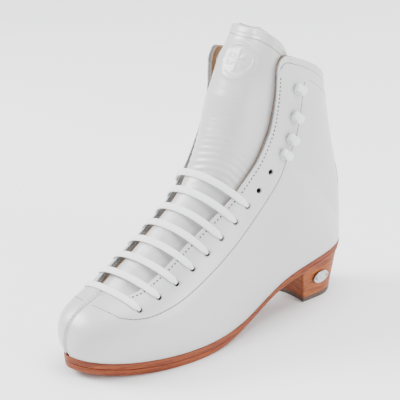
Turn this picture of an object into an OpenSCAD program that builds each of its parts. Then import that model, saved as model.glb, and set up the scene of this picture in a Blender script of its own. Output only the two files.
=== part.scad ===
// High-cut lace-up figure skating boot: leather upper, padded tongue, flat lace, leather sole, stacked heel.
// Millimetres. +Z is up, the toe points to -Y and the heel to +Y, +X is the outer side of the foot.

/* [Upper] */
// Length of the boot from the back of the heel to the tip of the toe
boot_l = 256; // [240:1:270]
// Thickness of the outer leather
outer_t = 2.0; // [1.6:0.1:2.4]
// Thickness of the hidden middle layer: stiffeners, interlining and padding
middle_t = 1.3; // [1.0:0.1:1.6]
// Thickness of the lining leather
lining_t = 1.1; // [0.8:0.1:1.4]
// Gap left between two layers so that they do not share a face
layer_gap = 0.2; // [0.15:0.01:0.25]

/* [Tongue] */
// Thickness of the leather face of the tongue
tongue_face_t = 1.6; // [1.2:0.1:2.0]
// Thickness of the foam inside the tongue
tongue_foam_t = 4.0; // [3.0:0.5:6.0]
// Thickness of the tongue lining
tongue_lining_t = 1.0; // [0.8:0.1:1.4]

/* [Lacing] */
// Number of eyelets on each side
eyelets = 10; // [10:1:10]
// Number of eyelets on each side that the lace goes through
laced = 8; // [2:2:10]
// Radius of an eyelet hole through the outer leather
eyelet_r = 2.1; // [1.8:0.1:2.4]
// Width of the flat lace
lace_w = 5.0; // [4:0.5:6]
// Thickness of the flat lace
lace_t = 1.5; // [1.2:0.1:1.8]
// Number of lace hooks on each side
hooks = 4; // [4:1:4]

/* [Sole] */
// How far the sole edge stands out beyond the upper
welt = 0.5; // [0:0.1:1.5]
// Thickness of the insole board
insole_t = 3.0; // [2:0.5:4]
// Thickness of the sock liner
sock_t = 1.8; // [1:0.2:3]

/* [Heel] */
// Number of leather lifts in the heel
lifts = 6; // [5:1:7]
// Thickness of the rubber top piece on the ground
top_piece_t = 4.5; // [3:0.5:6]
// Height at which the stack of lifts ends inside the slope of the sole
heel_h = 40; // [38:1:42]

/* [Hidden] */
$fn = 32;

white = [0.93, 0.93, 0.92];
tan = [0.62, 0.47, 0.34];
board = [0.72, 0.62, 0.48];
felt = [0.55, 0.55, 0.55];
sole_brown = [0.55, 0.27, 0.16];
heel_brown = [0.58, 0.31, 0.17];
rubber_brown = [0.22, 0.14, 0.10];
metal = [0.75, 0.75, 0.76];

// The boot is a fan of sections that starts at the tip of the toe and ends at the top of the shaft. Each row:
// front centre [u, z], bottom [u, z], centre x front and bottom, half widths outer side [bottom, widest],
// half widths inner side [bottom, widest], height of the widest place, shape [x3, v3, ku, kt, flare of the inner
// side towards the front], skew, underside z.
// u is the distance from the back of the heel towards the toe.
rows = [
    [[255.5, 17], [255.5, 16.5], -4, -4, [0, 0], [0, 0], 0.30, [0.50, 0.05, 0.85, 0.40, 0], 0.00, 6.5],
    [[258, 24], [254, 16], -4, -4, [9, 11], [7, 8], 0.35, [1, 0.15, 0.90, 0.60, 0], 0.02, 6.0],
    [[257, 36], [247, 14.5], -4, -4, [19, 22], [15, 16], 0.40, [1, 0.15, 0.90, 0.60, 0], 0.04, 4.5],
    [[249, 47], [232, 12.5], -4, -3, [29, 32], [24, 25], 0.42, [1, 0.15, 0.90, 0.55, 0], 0.07, 2.2],
    [[235, 54], [213, 11], -3, -2, [36, 39], [31, 31], 0.42, [1, 0.15, 0.90, 0.50, 0], 0.10, 0.4],
    [[219, 60], [192, 10], -3, -1, [40, 44], [36, 35], 0.42, [1, 0.15, 0.90, 0.45, 0], 0.13, -0.4],
    [[202, 70], [170, 10], -3, 0, [41, 46], [37, 38], 0.42, [1, 0.15, 0.88, 0.42, 0], 0.15, -0.4],
    [[185, 82], [148, 10.5], -2, 1, [38, 45], [34, 38], 0.42, [1, 0.15, 0.86, 0.42, 0], 0.17, 1.2],
    [[169, 95], [126, 14.5], -2, 2, [34, 43], [29, 37], 0.42, [1, 0.18, 0.85, 0.42, 0], 0.18, 8.5],
    [[155, 107], [104, 23.5], -1, 3, [30, 42], [27, 37], 0.42, [1, 0.18, 0.85, 0.42, 0], 0.18, 18.5],
    [[144, 119], [82, 33], 0, 3, [28, 40], [27, 39], 0.42, [1, 0.18, 0.85, 0.45, 0], 0.18, 27.5],
    [[136, 131], [60, 39.5], 0, 3, [30, 39], [28, 39], 0.42, [1, 0.18, 0.85, 0.48, 0.08], 0.18, 33.0],
    [[130, 143], [38, 43.5], 0, 2, [31, 38], [29, 38], 0.42, [0.95, 0.15, 0.86, 0.50, 0.2], 0.17, 37.0],
    [[125, 154], [18, 45], 0, 1, [26, 37], [25, 38], 0.45, [0.90, 0.10, 0.88, 0.52, 0.3], 0.16, 38.5],
    [[121, 164], [5, 46], 1, 0, [14, 35], [14, 37.5], 0.48, [0.75, 0.05, 0.88, 0.55, 0.38], 0.16, 39.5],
    [[118, 173], [-1, 46.5], 1, -1, [3, 34], [3, 38], 0.50, [0.60, 0, 0.88, 0.55, 0.42], 0.16, 40.0],
    [[116, 181], [-2.5, 49], 1, -1, [0, 34], [0, 38.5], 0.50, [0.60, 0, 0.88, 0.55, 0.4], 0.16, 40.0],
    [[114, 189], [-1.5, 66], 1, -1, [0, 34], [0, 39], 0.50, [0.60, 0, 0.88, 0.55, 0.36], 0.16, 40.0],
    [[112, 197], [3, 92], 1, -1, [0, 34], [0, 39], 0.50, [0.60, 0, 0.88, 0.55, 0.34], 0.16, 40.0],
    [[111, 205], [11, 120], 1, -2, [0, 35], [0, 39.5], 0.50, [0.60, 0, 0.88, 0.55, 0.32], 0.16, 40.0],
    [[110, 213], [17, 148], 1, -3, [0, 35], [0, 39.5], 0.50, [0.60, 0, 0.88, 0.55, 0.28], 0.16, 40.0],
    [[109, 222], [21.5, 174], 1, -4, [0, 35], [0, 39], 0.50, [0.60, 0, 0.88, 0.55, 0.24], 0.16, 40.0],
    [[109, 231], [24.5, 196], 1, -5, [0, 36], [0, 39], 0.50, [0.60, 0, 0.88, 0.55, 0.2], 0.16, 40.0]];

// Where the middle of the boot's box lies, so that it ends up over the origin
mid_x = 0.6;
mid_u = boot_l / 2 - 1;
skew = 0.17;
skew_angle = atan(skew);
t_throat = 0.185;
t_top = 0.985;
t_seat = 0.70;
// Above this the shaft runs on straight
t_straight = 0.97;

// Depth of each layer below the outside of the upper
middle_d = outer_t + layer_gap;
lining_d = middle_d + middle_t + layer_gap;
inside_d = lining_d + lining_t;
tongue_d = inside_d + 0.4;

// Edge of the facing, and the stitched line of the wing, as [t, s]
facing_line = [[0.185, 1], [0.188, 0.93], [0.200, 0.875], [0.220, 0.850], [0.26, 0.838], [0.33, 0.824],
    [0.41, 0.792], [0.49, 0.756], [0.586, 0.725], [0.72, 0.693], [0.84, 0.680], [0.985, 0.664]];
wing_line = [[0.14, 1], [0.145, 0.875], [0.151, 0.76], [0.168, 0.682], [0.19, 0.632], [0.215, 0.609],
    [0.25, 0.588], [0.35, 0.570], [0.54, 0.574], [0.67, 0.557], [0.77, 0.524], [0.85, 0.489],
    [0.93, 0.439], [0.985, 0.381]];
// Eyelets and hooks from the bottom up, as [t, s]
eyelet_at = [[0.190, 0.737], [0.232, 0.725], [0.272, 0.711], [0.311, 0.697], [0.350, 0.686],
    [0.390, 0.678], [0.435, 0.666], [0.481, 0.656], [0.531, 0.646], [0.597, 0.631]];
hook_at = [[0.694, 0.575], [0.782, 0.547], [0.859, 0.516], [0.938, 0.478]];

function mix(a, b, k) = a + (b - a) * k;
function clamp(v, a, b) = min(max(v, a), b);
function smooth(k) = let(c = clamp(k, 0, 1)) c * c * (3 - 2 * c);
function flat(a) = [for (r = a, p = r) p];

// Weights of the four control points around x on a clamped cubic spline of m spans
function weights(x, m) = let(
        k = min(floor(x), m - 1),
        l1 = x - k,
        l2 = x - max(k - 1, 0),
        l3 = x - max(k - 2, 0),
        r1 = k + 1 - x,
        r2 = min(k + 2, m) - x,
        r3 = min(k + 3, m) - x,
        a = r1 / (r1 + l2),
        b = l1 / (r2 + l1),
        c = r1 * a / (r1 + l3),
        d = (l2 * a + r2 * b) / (r2 + l2),
        e = l1 * b / (r3 + l1))
    [r1 * c, l3 * c + r2 * d, l2 * d + r3 * e, l1 * e];

// Control points of one section on one side: 1 is the outer side, -1 the inner side
function section(r, side) = let(
        w = side > 0 ? r[4] : r[5],
        f = r[7],
        ku = f[2] + (side > 0 ? 0 : 0.3 * f[4]),
        kt = f[3] + (side > 0 ? 0 : f[4]),
        cs = [[w[0], 0], [w[1] * f[0], f[1]], [w[1], r[6]], [w[1] * ku, mix(r[6], 1, 0.62)], [w[1] * kt, 1], [0, 1]])
    [for (c = cs) let(v = c[1])
        [mix(r[3], r[2], v) + side * c[0], mix(r[1][0], r[0][0], v) - r[8] * side * c[0], mix(r[1][1], r[0][1], v)]];
nets = [[for (r = rows) section(r, -1)], [for (r = rows) section(r, 1)]];
last = len(rows) - 3;

// Point [x, u, z] on the outside of the upper: t from the toe to the top, s from the bottom to the front
function spot(side, t, s) = t <= t_straight ? curved(side, t, s) : let(
        p = curved(side, t_straight, s))
    p + (p - curved(side, t_straight - 0.02, s)) * (t - t_straight) / 0.02;
function curved(side, t, s) = let(
        net = nets[side > 0 ? 1 : 0],
        x = clamp(t, 0, 0.9999) * last,
        y = clamp(s, 0, 0.9999) * 3,
        k = floor(x),
        l = floor(y),
        a = weights(x, last),
        b = weights(y, 3))
    a * [for (i = [0:3]) b * [for (j = [0:3]) net[k + i][l + j]]];
// The same with s running on past the front centre, or past the back seam, on to the other side
function over(side, t, s) = s > 1 ? spot(-side, t, 2 - s) : s < 0 ? (t > 0.74 ? spot(-side, t, -s) : spot(side, t, 0))
    : spot(side, t, s);
function unit(v) = v / norm(v);
function normal(side, t, s) = let(
        e = 0.004,
        ds = over(side, t, s + e) - over(side, t, s - e),
        dt = spot(side, t + e, s) - spot(side, t - e, s))
    unit(side * cross(dt, ds)) * -1;
function place(p) = [p[0] - mid_x, mid_u - p[1], p[2]];
function turn(v) = [v[0], -v[1], v[2]];
// Point on the boot at depth d below the outside, in the frame of the part
function skin(side, t, s, d) = place(spot(side, t, s) - normal(side, t, s) * d);

// Solid between two grids of points with the same number of rows and columns
module slab(a, b) {
    rows_n = len(a);
    n = len(a[0]);
    m = rows_n * n;
    i0 = floor(rows_n / 2);
    j0 = floor(n / 2);
    turned = cross(a[i0][j0] - a[i0][j0 - 1], a[i0][j0] - a[i0 - 1][j0]) * (a[i0][j0] - b[i0][j0]) > 0;
    faces = concat(
        [for (i = [0:rows_n - 2], j = [0:n - 2], h = [0, 1])
            let(p = i * n + j) h == 0 ? [p, p + 1, p + n + 1] : [p, p + n + 1, p + n]],
        [for (i = [0:rows_n - 2], j = [0:n - 2], h = [0, 1])
            let(p = m + i * n + j) h == 0 ? [p, p + n + 1, p + 1] : [p, p + n, p + n + 1]],
        [for (j = [0:n - 2], h = [0, 1]) h == 0 ? [j + 1, j, j + m] : [j + 1, j + m, j + 1 + m]],
        [for (j = [0:n - 2], h = [0, 1]) let(p = (rows_n - 1) * n + j)
            h == 0 ? [p, p + 1, p + 1 + m] : [p, p + 1 + m, p + m]],
        [for (i = [0:rows_n - 2], h = [0, 1]) let(p = i * n)
            h == 0 ? [p, p + n, p + n + m] : [p, p + n + m, p + m]],
        [for (i = [0:rows_n - 2], h = [0, 1]) let(p = i * n + n - 1)
            h == 0 ? [p + n, p, p + m] : [p + n, p + m, p + n + m]]);
    polyhedron(concat(flat(a), flat(b)), turned ? [for (f = faces) [f[0], f[2], f[1]]] : faces);
}

// Top edge of the quarters: the highest t at a given s, with a rounded front corner, lower on the inner side
function top_at(side, s, s_edge) = let(c = clamp(1 - (s_edge - s) / 0.10, 0, 1))
    t_top + 0.012 * sin(180 * s / s_edge) - 0.045 * (1 - sqrt(1 - c * c)) - (side > 0 ? 0 : 0.012 * smooth(s / s_edge));
// Columns of the upper's grids, as a share of the way to the facing edge
cols = concat([for (j = [0:8]) 0.09 * j], [0.80, 0.87, 0.92, 0.95, 0.975, 0.99, 1]);
// Grid of the upper from the bottom line to the edge of the facing, cut to rows i and columns j
function upper_grid(side, d, i0, i1, j0, j1) = [for (i = [i0:i1]) let(
        t0 = upper_ts[i],
        e = min(facing_edge(t0), 0.998))
    [for (j = [j0:j1]) let(
            s = mix(0.002, e, cols[j]),
            high = top_at(side, s, e),
            t = t0 > 0.8 ? mix(0.8, high, (t0 - 0.8) / (t_top - 0.8)) : t0)
        skin(side, t, s, d)]];
function facing_edge(t) = t < t_throat ? 1 : lookup(t, facing_line);
function wing_edge(t) = lookup(t, wing_line);

upper_ts = concat([0.004, 0.012, 0.025, 0.045, 0.07, 0.10, 0.13, 0.16, 0.178, 0.1849, 0.186, 0.189, 0.195, 0.205,
    0.22, 0.24], [for (i = [0:17]) mix(0.27, 0.80, i / 17)], [for (i = [1:6]) mix(0.80, t_top, i / 6)]);
top_row = len(upper_ts) - 1;
edge_col = len(cols) - 1;
// Column at which the reinforcement of the facing starts
wing_col = 9;

// A piece of the upper between two depths, from row i0 to i1 and from column j0 to j1 of its grid
module upper_layer(side, d0, d1, i0, i1, j0, j1) {
    slab(upper_grid(side, d0, i0, i1, j0, j1), upper_grid(side, d1, i0, i1, j0, j1));
}
module middle_layer(side, i0, i1, j0, j1) {
    upper_layer(side, middle_d, middle_d + middle_t, i0, i1, j0, j1);
}
// A patch between two depths, from s_low(t) to s_high(t)
module patch(side, t0, t1, s_low, s_high, d0, d1, nt, ns) {
    ts = [for (i = [0:nt]) mix(t0, t1, i / nt)];
    g = [for (d = [d0, d1]) [for (t = ts) [for (j = [0:ns]) skin(side, t, mix(s_low(t), s_high(t), j / ns), d)]]];
    slab(g[0], g[1]);
}
// Puts a child on the boot with its z axis along the normal and its x axis towards the heel
module seated(side, t, s, d) {
    n = turn(normal(side, t, s));
    translate(skin(side, t, s, d))
        rotate([0, acos(n[2]), atan2(n[1], n[0])])
            rotate([0, 0, side * 90])
                children();
}
module lace_holes(side, r) {
    for (e = eyelet_at) {
        seated(side, e[0], e[1], 0) cylinder(r = r, h = 20, center = true, $fn = 12);
    }
    for (h = hook_at) {
        seated(side, h[0], h[1], 0) cylinder(r = 1.35, h = 20, center = true, $fn = 10);
    }
}

// Upper
module quarter(side) {
    color(white)
    difference() {
        upper_layer(side, 0, outer_t, 0, top_row, 0, edge_col);
        lace_holes(side, eyelet_r);
    }
}
module quarter_left() quarter(1);
module quarter_right() quarter(-1);
module lining(side) {
    color(tan)
    difference() {
        upper_layer(side, lining_d, inside_d, 0, top_row, 0, edge_col);
        lace_holes(side, eyelet_r);
    }
}
module lining_left() lining(1);
module lining_right() lining(-1);
module facing_reinforcement(side) {
    color(felt)
    difference() {
        middle_layer(side, 13, top_row, wing_col, edge_col);
        lace_holes(side, eyelet_r);
    }
}
module facing_reinforcement_left() facing_reinforcement(1);
module facing_reinforcement_right() facing_reinforcement(-1);
module side_interlining(side) {
    color(felt) middle_layer(side, 13, 23, 0, wing_col);
}
module side_interlining_left() side_interlining(1);
module side_interlining_right() side_interlining(-1);
module toe_puff() {
    color(board)
    for (side = [-1, 1]) {
        middle_layer(side, 1, 6, 0, edge_col);
    }
}
module heel_counter(side) {
    color(board) middle_layer(side, 23, 33, 0, 5);
}
module heel_counter_left() heel_counter(1);
module heel_counter_right() heel_counter(-1);
module ankle_padding(side) {
    color(felt)
    difference() {
        middle_layer(side, 23, 33, 5, wing_col);
        for (h = hook_at) {
            seated(side, h[0], h[1], 0) translate([0, 0, -inside_d - 2]) cylinder(r = 3, h = inside_d + 3);
        }
    }
}
module ankle_padding_left() ankle_padding(1);
module ankle_padding_right() ankle_padding(-1);
module collar_padding(side) {
    color(felt) middle_layer(side, 34, top_row - 1, 0, 5);
}
module collar_padding_left() collar_padding(1);
module collar_padding_right() collar_padding(-1);
// Narrow strip over the back seam
module backstay() {
    color(felt)
    for (side = [-1, 1]) {
        patch(side, 0.745, 0.90, function(t) side > 0 ? 0 : 0.0005, function(t) mix(0.045, 0.02, (t - 0.745) / 0.155),
            -1.0, -0.05, 10, 2);
    }
}

// Tongue: it lies under the facings and stands up between them
tongue_bulge = [[0.20, 0.5], [0.24, 3.2], [0.30, 4.4], [0.50, 4.4], [0.60, 6.5], [0.75, 6.0], [0.85, 3.0], [0.93, -3],
    [0.99, -9], [1.04, -14]];
// How much deeper the tongue lies on the inner side, where the shaft flares
tongue_inner = [[0.30, 0], [0.50, 1.5], [0.60, 6], [1.04, 9]];
function tongue_depth(side, t, s) = tongue_d
    - lookup(t, tongue_bulge) * smooth((s - facing_edge(t)) / (1 - facing_edge(t)) * 1.2)
    + (side > 0 ? 0 : lookup(t, tongue_inner) * smooth((1 - s) / 0.12));
t_fold = 0.515;
// Top edge of the tongue: the highest t at a given s
tongue_top = [[0.50, 0.985], [0.52, 0.994], [0.56, 1.004], [0.60, 1.012], [0.66, 1.018], [0.72, 1.022], [0.80, 1.022],
    [0.90, 1.016], [1, 1.014]];
t_free = 0.975;
module tongue_layer(t0, t1, wing, free, d0, d1, nt, ns) {
    // Columns run from the outer side over the front centre to the inner side, and the free top is wider
    ts = concat([for (i = [0:nt]) mix(t0, t1, i / nt)], free ? [0.25, 0.6, 1] : []);
    g = [for (d = [d0, d1]) [for (i = [0:len(ts) - 1]) [for (j = [-ns:ns]) let(
            t_low = i <= nt ? ts[i] : t1,
            s = mix(1, i <= nt ? wing(t_low) : 0.52, abs(j) / ns),
            t = i <= nt ? t_low : mix(max(t1 + 0.006, 1.0 - 0.1 * (0.7 - s)), lookup(s, tongue_top), ts[i]),
            side = j < 0 ? 1 : -1)
        skin(side, t, s, tongue_depth(side, t, s) + d)]]];
    slab(g[0], g[1]);
}
function lower_wing(t) = min(facing_edge(t) - 0.055, 0.90);
function upper_wing(t) = facing_edge(t) + 0.028;
module tongue_lower(d0, d1) tongue_layer(0.192, t_fold - 0.004, function(t) lower_wing(t), false, d0, d1, 11, 6);
module tongue_upper(d0, d1) tongue_layer(t_fold + 0.004, t_free, function(t) upper_wing(t), true, d0, d1, 10, 6);
face_d = [0, tongue_face_t];
foam_d = [face_d[1] + layer_gap, face_d[1] + layer_gap + tongue_foam_t];
back_d = [foam_d[1] + layer_gap, foam_d[1] + layer_gap + tongue_lining_t];
module tongue_lower_face() color(white) tongue_lower(face_d[0], face_d[1]);
module tongue_lower_foam() color(felt) tongue_lower(foam_d[0], foam_d[1]);
module tongue_lower_lining() color(tan) tongue_lower(back_d[0], back_d[1]);
module tongue_upper_face() color(white) tongue_upper(face_d[0], face_d[1]);
module tongue_upper_foam() color(felt) tongue_upper(foam_d[0], foam_d[1]);
module tongue_upper_lining() color(tan) tongue_upper(back_d[0], back_d[1]);
// Plain oval ring raised on the face of the tongue
emblem_t = 0.925;
module tongue_emblem() {
    ring = function(a, r) let(t = emblem_t + 0.054 * r * sin(a), q = 0.018 + 0.105 * r * cos(a), s = 1 - abs(q))
        [t, s, q < 0 ? -1 : 1];
    g = [for (d = [-1.0, -0.45]) [for (i = [0:40]) [for (r = [0.86, 0.93, 1]) let(p = ring(i * 9 % 360, r))
        skin(p[2], p[0], p[1], tongue_depth(p[2], p[0], p[1]) + d)]]];
    n = 3;
    m = 40 * n;
    idx = function(i, j, h) (i % 40) * n + j + h * m;
    pts = concat(flat([for (i = [0:39]) g[0][i]]), flat([for (i = [0:39]) g[1][i]]));
    color(white)
    polyhedron(pts, concat(
        [for (i = [0:39], j = [0:n - 2], h = [0, 1]) h == 0 ? [idx(i, j, 0), idx(i + 1, j + 1, 0), idx(i, j + 1, 0)]
            : [idx(i, j, 0), idx(i + 1, j, 0), idx(i + 1, j + 1, 0)]],
        [for (i = [0:39], j = [0:n - 2], h = [0, 1]) h == 0 ? [idx(i, j, 1), idx(i, j + 1, 1), idx(i + 1, j + 1, 1)]
            : [idx(i, j, 1), idx(i + 1, j + 1, 1), idx(i + 1, j, 1)]],
        [for (i = [0:39], h = [0, 1]) h == 0 ? [idx(i, 0, 0), idx(i, 0, 1), idx(i + 1, 0, 1)]
            : [idx(i, 0, 0), idx(i + 1, 0, 1), idx(i + 1, 0, 0)]],
        [for (i = [0:39], h = [0, 1]) h == 0 ? [idx(i, n - 1, 0), idx(i + 1, n - 1, 1), idx(i, n - 1, 1)]
            : [idx(i, n - 1, 0), idx(i + 1, n - 1, 0), idx(i + 1, n - 1, 1)]]));
}

// Eyelets are tubes set through all the layers from the inside
module eyelet_set(side) {
    color(metal)
    for (e = eyelet_at) {
        seated(side, e[0], e[1], 0) {
            rotate_extrude()
                polygon([[eyelet_r - 0.45, -inside_d - 0.9], [3.2, -inside_d - 0.9], [3.2, -inside_d - 0.4],
                    [eyelet_r - 0.12, -inside_d - 0.4], [eyelet_r - 0.12, -0.9], [eyelet_r - 0.45, -0.9]]);
        }
    }
}
module eyelets_left() eyelet_set(1);
module eyelets_right() eyelet_set(-1);

// Speed hook: a foot on the leather, a neck on the side of the facing and a plate that covers the slot
module hook(side, k) {
    h = hook_at[k];
    color(white)
    seated(side, h[0], h[1], 0) {
        difference() {
            union() {
                translate([0, 0, 0.15]) cylinder(r = 4.2, h = 1.0);
                translate([-4.6, -2.6, 0.15]) cube([1.3, 5.2, 4.6]);
                translate([-4.6, -2.6, 3.65]) cube([5.6, 5.2, 1.1]);
                translate([1.0, 0, 3.65]) cylinder(r = 2.6, h = 1.1);
            }
            translate([0, 0, -1]) cylinder(r = 1.35, h = 3);
        }
    }
}
module hook_rivets() {
    color(metal)
    for (side = [-1, 1], h = hook_at) {
        seated(side, h[0], h[1], 0) {
            translate([0, 0, -inside_d - 0.4]) cylinder(r = 1.2, h = inside_d + 1.6, $fn = 16);
            translate([0, 0, 1.2]) cylinder(r = 2.1, h = 0.7, $fn = 20);
            translate([0, 0, -inside_d - 1.1]) cylinder(r = 2.7, h = 0.7, $fn = 20);
        }
    }
}

// Sole: an outline in plan crossed with a profile in side view that is swung by the skew of the foot
outline_ts = concat([0.002, 0.01, 0.02, 0.03, 0.045, 0.06, 0.08], [for (i = [1:24]) mix(0.08, t_seat, i / 24)]);
edge_loop = concat([for (t = outline_ts) place(spot(1, t, 0))],
    [for (i = [len(outline_ts) - 1:-1:0]) place(spot(-1, outline_ts[i], 0))]);
// Moves every point of a closed outline outwards by g
function grown(loop, g) = let(n = len(loop)) [for (i = [0:n - 1]) let(
        a = loop[(i + n - 1) % n],
        b = loop[(i + 1) % n],
        d = unit([b[0] - a[0], b[1] - a[1]]))
    [loop[i][0] + d[1] * g, loop[i][1] - d[0] * g]];
// Height line of the upper's bottom edge, or of the underside of the sole, along the skewed length
profile_ts = [for (i = [0:48]) i / 48 * 0.72];
function level(t, under) = let(
        x = t * last,
        k = floor(x),
        w = weights(x, last),
        u = w * [for (i = [0:3]) rows[k + i][1][0]],
        z = w * [for (i = [0:3]) under ? rows[k + i][9] : rows[k + i][1][1]])
    [-u, z];
ends = [-275, 25];
function line_of(k, rise_by) = let(
        pts = [for (t = profile_ts) let(a = level(t, false), b = level(t, true))
            [a[0], max(mix(b[1], a[1], k), k == 0 ? 0 : -1) + rise_by]])
    concat([[ends[0], pts[0][1]]], pts, [[ends[1], pts[len(pts) - 1][1]]]);
// Solid between two height lines
module band(k0, r0, k1, r1) {
    low = line_of(k0, r0);
    high = line_of(k1, r1);
    n = len(high);
    translate([-mid_x, mid_u, 0])
        rotate([0, 0, skew_angle])
            rotate([90, 0, 90])
                translate([0, 0, -90])
                    linear_extrude(180)
                        polygon([for (p = concat(low, [for (i = [n - 1:-1:0]) high[i]])) [p[0] * cos(skew_angle), p[1]]]);
}
module sole_plan(g) {
    linear_extrude(90) polygon(grown(edge_loop, g));
}
nail_at = [[-11, 20], [15, 18], [-12, 42], [17, 36]];
module nail_holes(r) {
    for (p = nail_at) {
        translate([p[0] - mid_x, mid_u - p[1], top_piece_t + 0.2]) cylinder(r = r, h = 45, $fn = 20);
    }
}
module outsole() {
    color(sole_brown)
    difference() {
        intersection() {
            sole_plan(welt);
            band(0, 0, 0.5, 0);
        }
        nail_holes(1.35);
    }
}
module shank_plan(w) {
    translate([0 - mid_x, mid_u - 135, 0]) rotate([0, 0, 4]) translate([-w / 2, 0, 0]) cube([w, 100, 90]);
}
module midsole() {
    color(sole_brown)
    difference() {
        intersection() {
            sole_plan(welt);
            band(0.5, 0.06, 1, -0.3);
        }
        intersection() {
            shank_plan(14.2);
            band(1, -1.8, 1, 5);
        }
        nail_holes(1.35);
    }
}
module shank() {
    color(metal)
    intersection() {
        shank_plan(14);
        band(1, -1.7, 1, -0.35);
    }
}
// The same plan, drawn in by g all round
module inner_plan(g) {
    linear_extrude(90)
        intersection_for (a = [0:20:340]) {
            translate([g * cos(a), g * sin(a)]) polygon([for (p = edge_loop) [p[0], p[1]]]);
        }
}
module insole_board() {
    color(board)
    intersection() {
        inner_plan(inside_d + 0.6);
        band(1, 0, 1, insole_t);
    }
}
module sock_liner() {
    color(tan)
    intersection() {
        inner_plan(inside_d + 1.0);
        band(1, insole_t + 0.08, 1, insole_t + sock_t);
    }
}

// Heel block: outline at height z, from the outer corner of the breast round the back to the inner corner
function heel_line(z) = let(
        k = z / heel_h,
        cx = mix(1, 1.5, k),
        a = mix(21.2, 28.2, k),
        cu = mix(30, 31.5, k),
        r = mix(22, 28, k),
        f = mix(51, 61, k))
    concat([[cx + a, f - skew * a], [cx + a, mix(f - skew * a, cu, 0.5)]],
        [for (i = [0:20]) let(q = i * 9) [cx + a * cos(q), cu - r * sin(q) + skew * -cos(q) * 8]],
        [[cx - a, mix(f + skew * a, cu, 0.5)], [cx - a, f + skew * a]],
        [for (i = [1:5]) let(q = i / 6) [cx - a + 2 * a * q, mix(f + skew * a, f - skew * a, q) - 4 * sin(q * 180)]]);
module heel_slice(z0, z1) {
    translate([0, 0, z0])
        linear_extrude(z1 - z0)
            polygon([for (p = heel_line((z0 + z1) / 2)) [p[0] - mid_x, mid_u - p[1]]]);
}
module heel_lift(k) {
    step = (heel_h - top_piece_t) / lifts;
    color(heel_brown)
    difference() {
        heel_slice(top_piece_t + (k - 1) * step + 0.04, top_piece_t + k * step);
        band(0, -0.06, 1, 20);
        nail_holes(1.35);
    }
}
module heel_top_piece() {
    color(rubber_brown)
    linear_extrude(top_piece_t)
        polygon([for (p = heel_line(0)) [p[0] - mid_x, mid_u - p[1]]]);
}
module heel_nails() {
    color(metal)
    for (p = nail_at) {
        translate([p[0] - mid_x, mid_u - p[1], top_piece_t + 2]) cylinder(r = 1.2, h = 33.5, $fn = 20);
    }
}
// Oval badge on the outer side of the heel, held by two nails
badge_z = 21;
badge_u = 34;
module badge_seat() {
    translate([27.2 - mid_x, mid_u - badge_u, badge_z])
        rotate([0, 0, 2])
            rotate([0, 100, 0])
                rotate([0, 0, 90])
                    children();
}
module heel_badge() {
    color(metal)
    badge_seat()
        difference() {
            union() {
                intersection() {
                    translate([0, -3.0, 0.1]) cylinder(r = 8.3, h = 1.0, $fn = 64);
                    translate([0, 3.0, 0.1]) cylinder(r = 8.3, h = 1.0, $fn = 64);
                }
            }
            for (x = [-5.2, 5.2]) {
                translate([x, 0, -1]) cylinder(r = 0.65, h = 4, $fn = 16);
            }
        }
}
module badge_nails() {
    color(metal)
    badge_seat()
        for (x = [-5.2, 5.2]) {
            translate([x, 0, 0.15]) cylinder(r = 0.55, h = 1.1, $fn = 16);
            translate([x, 0, 1.15]) cylinder(r = 0.95, h = 0.4, $fn = 16);
        }
}

// Lace: bars over the tongue, joined inside by short runs up the facings, with both ends put away in the shaft.
// Every place on its route is [point, direction across the lace, width].
bar_lift = 1.25;
run_d = inside_d + 2.0;
hole_w = 2.0;
inner_w = 3.0;
function along_t(side, t, s) = turn(unit(spot(side, t + 0.004, s) - spot(side, t - 0.004, s)));
function along_s(side, t, s) = turn(unit(over(side, t, s + 0.004) - over(side, t, s - 0.004)));
function lay(side, t, s, d, w) = [skin(side, t, s, d), along_t(side, t, s), w];
function lay_up(side, t, s, d, w) = [skin(side, t, s, d), along_s(side, t, s), w];
function bar(k, side) = let(e = eyelet_at[k]) [for (j = [0:8]) let(
        q = mix(e[1], 2 - e[1], j / 8),
        s = q > 1 ? 2 - q : q,
        mid = smooth((s - e[1]) / (1 - e[1])))
    lay(q > 1 ? -side : side, e[0], s, -bar_lift + 0.3 * mid, j == 0 || j == 8 ? inner_w : lace_w)];
function dive(k, side) = let(e = eyelet_at[k])
    [lay(side, e[0], e[1], 1.2, hole_w), lay(side, e[0], e[1], inside_d + 1.65, hole_w)];
function climb(k, side) = let(e = eyelet_at[k], g = eyelet_at[k + 1])
    [for (q = [0.25, 0.75]) lay_up(side, mix(e[0], g[0], q), mix(e[1], g[1], q), run_d, hole_w)];
// Bar k runs from side +1 when k is odd, counted from 0, and from side -1 when it is even
function back(a) = [for (i = [len(a) - 1:-1:0]) a[i]];
function stretch(k) = let(side = k % 2 == 0 ? -1 : 1)
    concat(back(dive(k, side)), bar(k, side), dive(k, -side), k < laced - 1 ? climb(k, -side) : []);
tail_low = [for (q = [0:9]) let(k = q / 9)
    lay_up(-1, mix(0.57, 0.205, k), mix(0.42, 0.69, k), run_d + 0.9, q == 0 || q == 9 ? hole_w : inner_w)];
tail_high = [for (q = [0:7]) let(k = q / 7)
    lay_up(-1, mix(0.50, 0.80, k), mix(0.64, 0.50, k), run_d + 0.4, q == 0 || q == 7 ? hole_w : inner_w)];
lace_path = concat(tail_low, flat([for (k = [0:laced - 1]) stretch(k)]), tail_high);
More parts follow.
